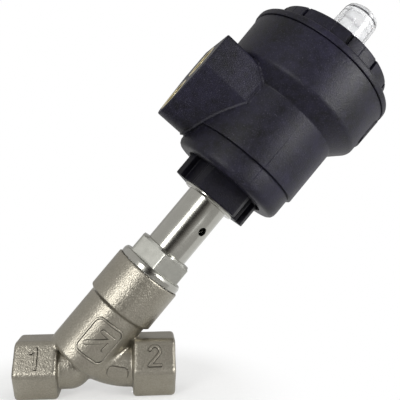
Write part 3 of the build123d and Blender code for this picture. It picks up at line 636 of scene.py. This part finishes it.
def relief(name, wide, tall, drawing, surface, proud, finish="cast_stainless", body="valve"):
    """Open grid over a drawing, lifted by proud inside it and sunk outside, with a loose plate behind it."""
    u = np.linspace(-wide / 2, wide / 2, int(wide / mark_step))[:, None]
    v = np.linspace(-tall / 2, tall / 2, int(tall / mark_step))[None]
    edge = np.clip(0.5 - drawing(u + 0 * v, v + 0 * u) / shoulder, 0, 1)
    lift = edge * edge * (3 - 2 * edge) * (proud + sunk) - sunk
    front, back = surface(u, v, lift), surface(u[[0, -1]], v[:, [0, -1]], -mark_back)
    rows, columns = front.shape[:2]
    tile = cells(rows, columns, False, False)
    corner = rows * columns
    plate = np.array([[corner, corner + 1, corner + 3, corner + 2]])
    points = np.concatenate([front.reshape(-1, 3), back.reshape(-1, 3)])
    mark = piece(name, points, np.concatenate([tile, plate]), finish, body, (), as_is, 60)
    # painted shade: the lower wall and foot of each mark, where it meets the surface, are marked to be painted
    # dark
    low = np.append(np.interp(edge, (0.1, 0.3, 0.7, 1), (1, 1, 0.6, 0)).ravel(), [0, 0, 0, 0])
    mark_points(mark, "painted_shade", low)


# %% Port numerals
def on_hexagon(centre):
    """Plane of the marked side, which faces the front and 30 degrees up: u along the pipe, v up it."""
    out = np.array([0, -cos(radians(30)), sin(radians(30))])
    rise = np.array([0, sin(radians(30)), cos(radians(30))])

    def surface(u, v, lift):
        u, v, lift = (np.asarray(x)[..., None] for x in np.broadcast_arrays(u, v, lift))
        return np.array([centre, 0, 0]) + u * np.array([1, 0, 0]) + v * rise + (half_flats + lift) * out

    return surface


arc = np.linspace(radians(165), radians(-38), 12)
one = [(-1.9, 2.4), (0.2, 4.1), (0.2, -4.1)]
two = [(2.2 * cos(a), 1.9 + 2.2 * sin(a)) for a in arc] + [(-2.3, -4.1), (2.4, -4.1)]
for name, route, centre in (("numeral_1", one, 9.2), ("numeral_2", two, 59.0)):
    relief(name, 9, 11, lambda u, v: strokes(u, v, route, 1.35), on_hexagon(centre), 0.75)


# %% Flow arrow and its frame
def on_barrel(u, v, lift):
    """Barrel skin: u is arc length round it, v height up the stem."""
    return on_stem(polar((u + 1.5) / barrel_r, barrel_r + lift, 19.2 + v))


def arrow_in_frame(u, v):
    """A frame line, and inside it an arrow along the pipe towards port B."""
    frame_line = np.abs(rounded_box(u, v, 14.4, 16.6, 3.0)) - 0.5
    along, off = u * stem_back[0] + v * stem_up[0], -u * stem_up[0] + v * stem_back[0]
    shaft = strokes(along, off, [(-5.8, 0), (4.2, 0)], 1.9)
    head = strokes(along, off, [(1.6, 4.0), (5.8, 0), (1.6, -4.0)], 1.9)
    return np.minimum(frame_line, np.minimum(shaft, head))


relief("flow_arrow", 17, 19, arrow_in_frame, on_barrel, 0.5)


# %% Bare tablet on the neck
def on_neck(u, v, lift):
    """Skin of port B's waist: u along its arc, v round it from the front."""
    a, turn, radius = np.broadcast_arrays((6.2 - u) / bend, (v - 1.6) / waist, waist + lift)
    ring = radius * np.sin(turn)
    x = length - hex_long - bend * np.sin(a) + ring * np.sin(a)
    z = bend - bend * np.cos(a) + ring * np.cos(a)
    return np.stack([x, -radius * np.cos(turn), z], -1)


relief("neck_tablet", 12, 9, lambda u, v: rounded_box(u, v, 8.6, 5.4, 2.2), on_neck, 0.42)

# %% [markdown]
# ## Bonnet
#
# Turned from hexagon bar: a round flange that seals on the body, and a hexagon for the spanner whose corners
# are turned back at the top.  The radius is the smaller of the turned outline and the hexagon, whose radius
# at angle a is the inverse of the long norm of its side distances.  A high norm keeps the corners crisp.  The
# flange's rim and its bevel are polished, so they are a ring of their own.


# %% Bonnet
def hexagon_radius(angles, flats, corner_turn, crispness=70):
    """r = flats/2 / (sum of |cos(a - side)|^p)^(1/p)."""
    sides = radians(corner_turn + 30) + np.arange(6) * pi / 3
    facing = np.maximum(np.cos(np.asarray(angles)[:, None] - sides), 0)
    return flats / 2 / (facing**crispness).sum(1) ** (1 / crispness)


bonnet_outline = eased([
    (6.5, 41.0, 0.1), (12.9, 41.0, 1.2), (12.9, 53.2, 0.1), (14.0, 53.2, 0.1), (14.0, 56.2, 0.1),
    (14.6, 56.3, 0.1), (14.6, 64.2, 0.25), (12.3, 65.4, 0.2), (10.04, 65.4, 0.15), (10.04, 58.5, 0.1),
    (7.5, 58.5, 0.1), (7.5, 51.5, 0.1), (4.4, 51.5, 0.1), (4.4, 49.0, 0.1), (6.5, 49.0, 0.1)])
angles = even_turn(288)
radius, height = bonnet_outline.T
flats = hexagon_radius(angles, 25.0, -2.0)[:, None]
spanner = (height > 56.35) & (radius > 11)
radius = np.where(spanner, melt(radius, flats, 0.25), radius)
turned("bonnet_turned", bonnet_outline, angles, radius, "machined_stainless", "valve", ("bonnet",), 30)
flange_outline = eased([
    (13.9, 53.1, 0.1), (15.35, 53.1, 0.25), (15.35, 55.1, 0.15), (14.75, 56.3, 0.3), (13.9, 56.3, 0.1)])
turned("bonnet_flange", flange_outline, even_turn(200), flange_outline[:, 0], "polished_stainless", "valve")

# %% [markdown]
# ## Tube with its tell-tale hole
#
# The polished tube joins bonnet and actuator.  A 3.9 mm hole through it shows a leaking packing.  Its wall is
# a grid with a square left out, and the square is filled by rings that change from that square to the
# round hole: each ring is a mix of the two outlines.

# %% Tube
tube_r, tube_bore = 10.0, 7.5
hole_h, hole_turn, hole_r, half_square, half = 81.6, radians(38), 1.95, 3.5, 14
levels = np.arange(-7, 8) * 0.5 + hole_h
tube_outline = eased([
    (7.5, 58.5, 0.2), (9.9, 58.5, 0.4), (10.0, 66.0, 0.1), *((tube_r, h, 0.0) for h in levels),
    (10.0, 93.7, 0.25), (12.5, 93.7, 0.35), (12.8, 94.3, 0.1), (13.1, 94.4, 0.15), (13.1, 96.4, 0.3),
    (12.8, 96.6, 0.3), (10.0, 96.6, 0.1), (10.0, 110.4, 0.0), (9.1, 110.5, 0.0), (9.1, 111.7, 0.0),
    (10.0, 111.8, 0.0), (10.0, 114.6, 0.5), (7.5, 114.6, 0.3),
    *((tube_bore, h, 0.0) for h in levels[::-1])], 3)
around = 240
step_round = 2 * pi / around
angles = hole_turn + np.arange(around) * step_round
wall_points = polar(angles[:, None], *tube_outline.T).reshape(-1, 3)
place_round = (np.arange(around)[:, None] + half) % around + 0.5
mid_h = (tube_outline[:, 1] + np.roll(tube_outline[:, 1], -1)) / 2
in_square = (place_round < 2 * half) & (np.abs(mid_h - hole_h) < half_square)[None]
wall_faces = cells(around, len(tube_outline))[~in_square.ravel()]
print("tube wall", len(wall_faces), "faces round a square of", 2 * half_square, "mm")

# %% Tell-tale hole
edge = np.linspace(-1, 1, 2 * half + 1)[:-1]
short = np.linspace(-1, 1, half + 1)[:-1]
square_a = np.concatenate([edge, np.ones(half), -edge, -np.ones(half)]) * half * step_round
square_h = np.concatenate([-np.ones(2 * half), short, np.ones(2 * half), -short]) * half_square
toward = np.arctan2(square_h, square_a * tube_r)
rings = []
for radius, mixes in ((tube_r, np.linspace(0, 1, 9) ** 0.7), (tube_bore, np.linspace(1, 0, 9) ** 0.7)):
    for mix in mixes:
        size = hole_r + (0.12 if mix == 1 else 0)
        hole_a = np.arcsin(size * np.cos(toward) / radius)
        a = hole_turn + (1 - mix) * square_a + mix * hole_a
        h = hole_h + (1 - mix) * square_h + mix * size * np.sin(toward)
        rings.append(polar(a, radius, h))
off = hole_r * np.cos(toward)
depth = np.sqrt((tube_r - 0.15) ** 2 - off**2)
outward, across = np.array([[cos(hole_turn), sin(hole_turn)], [-sin(hole_turn), cos(hole_turn)]])
throat = depth[:, None] * outward + off[:, None] * across
rings.insert(9, np.column_stack([throat, hole_h + hole_r * np.sin(toward)]))
hole_faces = cells(len(rings), len(toward), close_rows=False) + len(wall_points)
piece("tube_polished", np.concatenate([wall_points, *rings]), np.concatenate([wall_faces, hole_faces]),
      "polished_stainless", "valve", ("spindle_tube",), crease=35)

# %% [markdown]
# ## Base nut
#
# A moulded hexagon holds the actuator against the tube's rim.  Every second side is cored out so that the
# plastic cools evenly, and a rounded rib stays in each pocket.  The pockets make it a job for distances
# again, this time in the stem's own axes.

# %% Base nut
nut_foot, nut_top, nut_half_flats = 94.8, 107.8, 16.65
pocket_floor, pocket_half, rib_off, rib_r = 13.6, 5.75, 3.15, 1.5


def base_nut(points):
    """Distance to the nut: hexagon less three pockets, with their ribs, less the bore and the rim's seat."""
    x, y, h = points[..., 0], points[..., 1], points[..., 2]
    r = np.hypot(x, y)
    block = hexagon(x, y, (2, 62, 122), nut_half_flats, 0.35)
    block = both(block, np.maximum(nut_foot - h, h - nut_top), 0.5)
    for turn in (-58, 62, 182):
        out = x * cos(radians(turn)) + y * sin(radians(turn)) - pocket_floor
        along = -x * sin(radians(turn)) + y * cos(radians(turn))
        pocket = np.maximum(np.maximum(-out, np.abs(along) - pocket_half), h - (nut_top - 1.8))
        ends = np.maximum(nut_foot - h, h - (nut_top - 0.9))
        rib = both(np.hypot(out, along - rib_off) - rib_r, ends, 0.4)
        block = np.minimum(less(block, pocket, 0.35), rib)
    bore = np.minimum(r - 10.03, np.maximum(r - 13.15, h - 96.6))
    return less(block, bore, 0.3)


points, faces = net_over(base_nut, (-20, -20, nut_foot - 1), (20, 20, nut_top + 1), 0.36)
nut = piece("nut_moulded", points, faces, "black_nylon", "valve", ("base_nut",), crease=50)
# painted shade: the whole nut is painted darker and duller, for the shade under the actuator
mark_points(nut, "painted_shade", np.full(len(nut.data.vertices), 0.6))

# %% [markdown]
# ## Actuator housing
#
# The housing is two moulded forms in one: a stepped cylinder, turned about the stem, and a keystone block
# with the two air ports.  The cylinder is one closed outline with the bore of the piston inside.  Where the
# halves of the mould meet, a line a tenth of a millimetre proud runs up it, so the angles are closer there.


# %% Housing cylinder
def at_marks(angles, marks, radius, reach, slope):
    """1 near a mark, falling over a slope to 0 at reach: arc lengths from each angle's nearest mark."""
    away = np.abs((angles[:, None] - marks + pi) % (2 * pi) - pi).min(1) * radius
    return np.clip((reach - away) / slope, 0, 1)[:, None]


def closer_at(marks, offsets, radius, around=240):
    """Even angles, and more of them at the given arc lengths beside each mark."""
    extra = (np.asarray(marks)[:, None] + np.asarray(offsets) / radius).ravel()
    return np.unique(np.round(np.concatenate([even_turn(around), extra]) % (2 * pi), 6))


waist_skin_r = 28.45
housing_outline = eased([
    (20.2, 105.3, 0.3), (27.1, 105.3, 3.8), (27.1, 116.5, 0.1), (26.9, 116.75, 0.05), (28.45, 116.9, 0.3),
    (28.45, 132.0, 0.0), (28.45, 133.0, 0.0), (28.45, 144.2, 0.35), (35.1, 150.8, 1.3), (35.4, 170.9, 0.3),
    (31.8, 170.9, 0.4), (31.8, 152.4, 0.2), (25.0, 150.0, 0.4), (25.0, 113.2, 0.5), (12.4, 113.2, 0.1),
    (12.4, 111.8, 0.1), (10.1, 111.8, 0.1), (10.1, 107.9, 0.1), (20.2, 107.9, 0.2)])
seams = np.radians([13.0, 193.0])
angles = closer_at(seams, (-0.3, -0.15, 0.0, 0.15, 0.3), waist_skin_r, 300)
seam = at_marks(angles, seams, waist_skin_r, 0.25, 0.2) * 0.1
radius, height = housing_outline.T
skin = (radius > 27.0) & (height > 108) & (height < 132.5)
turned("housing_cylinder", housing_outline, angles, radius + seam * skin, "black_nylon", "actuator",
       ("actuator_housing",))

# %% [markdown]
# Where such an actuator carries its label, the head has a raised pad.  Here it stays blank.  It is a relief
# like the cast marks, laid on the head's slightly tapered skin.


# %% Blank pad
def on_head(u, v, lift):
    """Skin of the head: u is arc length round it, v height up the stem."""
    h = 162.6 + v
    radius = np.interp(h, (150.8, 170.9), (35.1, 35.4)) + lift
    return on_stem(polar(radians(82) + u / 35.2, radius, h))


relief("blank_pad", 17.4, 15.0, lambda u, v: rounded_box(u, v, 15.8, 13.4, 3.0), on_head, 0.62, "black_nylon",
       "actuator")

# %% [markdown]
# The block's outline is a band drawn tight round a wide rounded bar and, below it, a round lobe.  For such a
# hull the reach in each direction is the larger of the two, and the distance is the largest excess over
# that reach in any direction.

# %% Port block
port_axis = np.array(next(m["axis"] for m in frame["record"]["mounts"] if m["name"] == "low_air_port"))
port_side = np.cross(stem_up, port_axis)
port_axes = np.array([port_side, port_axis, stem_up])
port_reach, ports = 42.2, (119.6, 138.4)


def on_port(local):
    """(along the side, out from the stem, up the stem) to the object's frame."""
    return stem_foot + local @ port_axes


bar_h, bar_half, bar_rise, bar_round, lobe_r, bead_r = 140.5, 19.9, 6.7, 1.8, 10.8, 0.5


def port_block(points):
    """Distance to the block: hull of bar and lobe, cut at the face, with a bead along the cylinder."""
    s, out, h = points[..., 0], points[..., 1], points[..., 2]
    r = np.hypot(s, out)
    hull = -1e3
    for a in even_turn(96):
        c, d = cos(a), sin(a)
        bar = bar_h * d + bar_half * abs(c) + bar_rise * abs(d) + bar_round
        hull = np.maximum(hull, s * c + h * d - max(bar, ports[0] * d + lobe_r))
    block = both(hull, out - port_reach, 0.7)
    bead = np.hypot(hull, r - np.interp(h, (144.2, 150.8), (28.55, 35.15))) - bead_r
    block = melt(block, np.maximum(bead, 10.0 - out), 0.2)
    block = both(block, 25.3 - r, 0.3)
    for centre in ports:
        pocket = np.maximum(np.hypot(s, h - centre) - 8.4, port_reach - 11.5 - out)
        block = less(block, pocket, 0.3)
    for centre in (ports[0] - 1.4, ports[1] + 3.9):
        block = np.maximum(block, 1.6 - np.hypot(s, h - centre))
    return block


points, faces = net_over(port_block, (-23, 12, ports[0] - 12.5), (23, 43.5, 151), 0.42)
piece("housing_port_block", points, faces, "black_nylon", "actuator", ("actuator_housing",), on_port, 50)

# %% Air port inserts
air_thread = 5.75, 8.36, 1.337, 0.78, 11.5, "brass", "actuator"
for name, centre in (("low_port_insert", ports[0]), ("high_port_insert", ports[1])):
    mouth = stem_foot + port_axis * (port_reach + 0.1) + stem_up * centre
    threaded_ring(name + "_turned", mouth, port_axis, *air_thread, (name,))

# %% [markdown]
# ## Cover
#
# The cover screws into the housing and is turned by its grip ring, which is notched all round for a pin
# wrench.  Ring, rim and tower are one outline.  At each notch the radius of the ring's outer wall drops, so
# the angles are spaced closely there and widely between.  Hair lines between some notches are where the
# mould's slides meet.

# %% Cover
ring_r = 29.6
cover_outline = eased([
    (9.24, 171.2, 0.1), (28.36, 171.2, 0.5), (28.36, 152.8, 0.2), (31.2, 152.8, 0.2), (31.76, 153.4, 0.2),
    (31.76, 166.2, 0.05), (29.4, 166.2, 0.1), (29.4, 168.7, 0.1), (31.76, 168.7, 0.05), (31.76, 171.1, 0.1),
    (36.0, 171.1, 0.35), (36.0, 174.2, 1.3), (29.9, 174.2, 0.5), (29.6, 176.3, 0.0), (29.59, 176.45, 0.0),
    (29.3, 182.3, 0.8), (25.6, 182.3, 0.7), (25.6, 174.2, 0.5), (14.0, 174.2, 0.5), (13.0, 182.0, 0.4),
    (9.24, 182.0, 0.3)])
notches = np.radians(np.concatenate([-24 - 22.5 - 30 * np.arange(6), -24 + 22.5 + 30 * np.arange(5)]))
hairs = np.radians([-60.0, -30.0, -18.0, 12.0, 132.0, 192.0])
beside = np.array([0.62, 0.74, 0.8, 0.86, 1.1])
near_hair = (-0.25, -0.12, 0, 0.12, 0.25)
angles = np.union1d(closer_at(notches, [*-beside, *beside], ring_r), closer_at(hairs, near_hair, ring_r))
radius, height = cover_outline.T
outer_ring = (radius > 27.0) & (height > 174.25)
depth = np.interp(height, (176.3, 176.45, 181.4, 182.3), (0, 1.5, 1.5, 0.5)) * outer_ring
notch = at_marks(angles, notches, ring_r, 0.83, 0.14) * depth
hair = at_marks(angles, hairs, ring_r, 0.2, 0.12) * outer_ring * 0.12
turned("cover_moulded", cover_outline, angles, radius - np.maximum(notch, hair), "black_nylon", "actuator",
       ("actuator_cover",), 40)

# %% [markdown]
# ## Clear cap
#
# The cap is a tapered dome of clear plastic that lets the indicator be seen.  Outside it is round, with a
# step under its crown, along which a thin dark line is painted as painted shade.  Inside it is a ten-sided
# core, whose flats bend the light into the facets that show through the wall.

# %% Clear cap
step_h, facets = 203.4, 10
cap_outline = eased([
    (8.2, 205.0, 0.3), (8.2, 204.1, 0.0), (8.2, 203.8, 0.0), (8.2, 203.5, 0.1), (8.7, 203.3, 0.15),
    (8.72, 202.9, 0.0), (8.74, 202.6, 0.0), (9.65, 184.0, 0.1), (11.0, 183.8, 0.25), (11.0, 183.2, 0.2),
    (9.2, 183.2, 0.1), (9.2, 174.5, 0.3), (7.6, 174.5, 0.2), (7.55, 184.0, 0.2), (6.9, 201.6, 0.5),
    (5.2, 204.4, 0.5), (0.0, 204.4, 0.0), (0.0, 206.6, 0.0), (5.8, 206.6, 0.5)])
angles = even_turn(240)
radius, height = cap_outline.T
core = (radius < 7.8) & (height > 175) & (height < 204.7)
flat = 0.96 / np.maximum(np.cos((angles + pi / facets) % (2 * pi / facets) - pi / facets), 0.9)
radius = np.where(core, radius * flat[:, None], radius)
cap = turned("cap_clear", cap_outline, angles, radius, "clear_plastic", "cap", ("clear_cap",), 25)
# painted shade: points within 0.55 mm of the step and more than 8 mm out are marked to be painted dark
spots = stem_spots(cap)
mark_points(cap, "painted_step_shade", (np.abs(spots[:, 2] - step_h) < 0.55) & (np.hypot(spots[:, 0], spots[:, 1]) > 8))

# %% [markdown]
# ## Studio
#
# The valve stands on its two hexagons on a pale floor.  The floor is plain near the valve, where it takes the
# shadow, and fades to the white of the background.  The world lights evenly, and shows itself white where it
# is seen straight, in gloss or through glass.  One helper tells those rays from the light's own.


# %% Rays that show the background
def seen_straight(graph):
    """1 on a camera ray, and the larger of that and the same for gloss and transmission rays."""
    seen = add(graph, "LightPath").outputs
    largest = seen["Is Camera Ray"]
    for kind in ("Is Glossy Ray", "Is Transmission Ray"):
        largest = add(graph, "Math", {"operation": "MAXIMUM"}, i0=largest, i1=seen[kind]).outputs[0]
    return seen["Is Camera Ray"], largest


# %% Floor
lowest = cad_box[0].z
floor_points = polar(even_turn(96)[:, None], [[0.001, 0.1, 0.2, 0.4, 0.8, 3.0]], lowest) + (0.05, 0, 0)
floor_mesh = bpy.data.meshes.new("floor")
floor_faces = cells(*floor_points.shape[:2], close_columns=False)
floor_mesh.from_pydata(floor_points.reshape(-1, 3).tolist(), [], floor_faces.tolist())
floor = put("floor", floor_mesh)
paper = bpy.data.materials.new("matt_paper")
graph = bare_graph(paper)
place = add(graph, "TexCoord").outputs["Object"]
centred = add(graph, "VectorMath", {"operation": "SUBTRACT"}, i0=place, i1=(0.04, 0.0, lowest)).outputs[0]
away = add(graph, "VectorMath", {"operation": "LENGTH"}, i0=centred).outputs["Value"]
smooth = {"interpolation_type": "SMOOTHSTEP"}
fade = add(graph, "MapRange", smooth, Value=away, From_Min=0.03, From_Max=0.09).outputs[0]
tooth = noise(graph, place, 2.0)
matt = add(graph, "BsdfDiffuse", Color=blend(graph, tooth, ink("#f1f1f0"), ink("#f7f7f6"))).outputs[0]
white = add(graph, "Emission", Color=ink("#ffffff"), Strength=1.0).outputs[0]
camera_ray, straight = seen_straight(graph)
amount = add(graph, "Math", {"operation": "MULTIPLY"}, i0=fade, i1=straight).outputs[0]
least = add(graph, "Math", {"operation": "MULTIPLY"}, i0=camera_ray, i1=0.4).outputs[0]
amount = add(graph, "Math", {"operation": "MAXIMUM"}, i0=amount, i1=least).outputs[0]
add(graph, "OutputMaterial", Surface=add(graph, "MixShader", i0=amount, i1=matt, i2=white).outputs[0])
floor_mesh.materials.append(paper)
print("floor at", round(lowest * 1000, 2), "mm")

# %% World
world = bpy.data.worlds.new("studio")
bpy.context.scene.world = world
graph = bare_graph(world)
level = add(graph, "MapRange", Value=seen_straight(graph)[1], To_Min=0.8, To_Max=1.0).outputs[0]
add(graph, "OutputWorld", Surface=add(graph, "Background", Color=ink("#ffffff"), Strength=level).outputs[0])
print("world lights at 0.8 of white")


# %% Camera
def stand(thing, right, up, back, spot):
    """Turn and place a camera or lamp by the directions of its own X, Y and Z."""
    turn = np.eye(4)
    turn[:3] = np.column_stack([right, up, back, spot])
    thing.matrix_world = Matrix(turn.tolist())


camera_data = bpy.data.cameras.new("camera")
camera_data.sensor_width, camera_data.lens = 36.0, 50.31
camera_data.clip_start, camera_data.clip_end = 0.01, 20.0
camera = put("camera", camera_data)
bpy.context.scene.camera = camera
view_right = np.array([0.994228, -0.107281, 0.001581])
view_down = np.array([0.000427, -0.010778, -0.999942])
view_ahead = np.array([0.107291, 0.994170, -0.010670])
camera_spot = np.array([52.56, -248.78, 75.10]) / 1000
stand(camera, view_right, -view_down, -view_ahead, camera_spot)
print("camera", np.round(camera_spot * 1000, 1), "mm")

# %% [markdown]
# ## Lamps
#
# Two soft boxes lie parallel to the stem, so that their light makes long even bands along the tube and the
# barrel: a tall strip to the left of the camera for the metal, and a square one high on the right for the
# black head.  A lamp's place is an angle round the stem, a height along it and a distance from it.


# %% Lamps
across_stem = 0.7705 * view_right + 0.6374 * view_down
along_stem = np.cross(across_stem, view_ahead)
tube_middle = (stem_foot + 105 * stem_up) / 1000


def studio_spot(degrees, along, away):
    """A place round the stem: degrees from the camera's side, a way along the stem and away from it."""
    turn = radians(degrees)
    return tube_middle + along * along_stem + away * (sin(turn) * across_stem - cos(turn) * view_ahead)


def soft_box(name, degrees, along, size, radiance, away=0.8):
    """Rectangular lamp parallel to the stem.  Power = radiance x pi x width x height."""
    spot = studio_spot(degrees, along, away)
    data = bpy.data.lights.new(name, "AREA")
    data.shape, data.size, data.size_y = "RECTANGLE", *size
    data.energy = radiance * pi * size[0] * size[1]
    back = (spot - tube_middle) / np.linalg.norm(spot - tube_middle)
    side = np.cross(along_stem, back)
    side /= np.linalg.norm(side)
    stand(put(name, data), side, np.cross(back, side), back, spot)
    print(name, round(data.energy, 2), "W")


soft_box("key_strip", -30, -0.18, (0.24, 0.5), 9.0)
soft_box("head_box", 46, 0.3, (0.26, 0.26), 17.0, 0.5)

# %% [markdown]
# ## Cards for reflections
#
# Polished metal is a picture of its surroundings, so a studio surrounds it with cards.  Dark and light ones
# round the tube give it its streaks, low ones darken the undersides, and pale ones behind and above keep the
# white world out of the casting.  Only reflections show them: they light nothing and cast no shadow.


# %% Cards
cloth = bpy.data.materials.new("studio_cloth")
graph = bare_graph(cloth)
shade = add(graph, "Attribute", {"attribute_name": "level"}).outputs["Color"]
add(graph, "OutputMaterial", Surface=add(graph, "Emission", Color=shade, Strength=1.0).outputs[0])


def card(name, rows, levels):
    """A sheet of card that only reflections show, with one level of light for each row of its points."""
    rows = np.asarray(rows)
    mesh = bpy.data.meshes.new(name)
    mesh.from_pydata(rows.reshape(-1, 3).tolist(), [], cells(*rows.shape[:2], False, False).tolist())
    sheet = put(name, mesh)
    sheet.visible_camera = sheet.visible_diffuse = False
    sheet.visible_shadow = sheet.visible_transmission = False
    shown = np.repeat(levels, rows.shape[1])[:, None] ** (1.0, 1.03, 1.06, 0.0)
    mesh.color_attributes.new("level", "FLOAT_COLOR", "POINT").data.foreach_set("color", shown.ravel())
    mesh.materials.append(cloth)


def curved_card(name, turns, away, foot, top, levels):
    """A card bent round the stem, from turn to turn in degrees."""
    card(name, [[studio_spot(t, z, away) for z in (foot, top)] for t in turns], levels)


turns = np.linspace(-23, 33, 29)
front_levels = np.interp(turns, (-23, -18, -11, 3, 12, 33), (0.8, 0.5, 0.02, 0.03, 0.16, 0.55))
curved_card("front_card", turns, 0.24, -0.35, 0.5, front_levels)
curved_card("left_card", np.linspace(-130, -37, 29), 0.26, -0.35, 0.5, np.full(29, 0.72))
curved_card("right_card", np.linspace(36, 75, 14), 0.2, -0.35, 0.05, np.linspace(1.5, 1.1, 14))
low = lowest + 0.003
card("low_card", [[(x, y, low) for x in (-0.4, -0.02)] for y in (-0.45, 0.12)], [0.05, 0.05])
card("apron_card", [[(x, y, low) for x in (-0.02, 0.2)] for y in (-0.3, -0.02)], [0.6, 0.6])
card("back_card", [[(x, 0.5, z) for x in (-0.7, 0.9)] for z in (-0.01, 0.5)], [0.55, 0.55])
card("ceiling_card", [[(x, y, 0.5) for x in (-0.6, 0.8)] for y in (-0.6, 0.6)], [0.42, 0.42])
bpy.context.scene.view_settings.view_transform = "Standard"
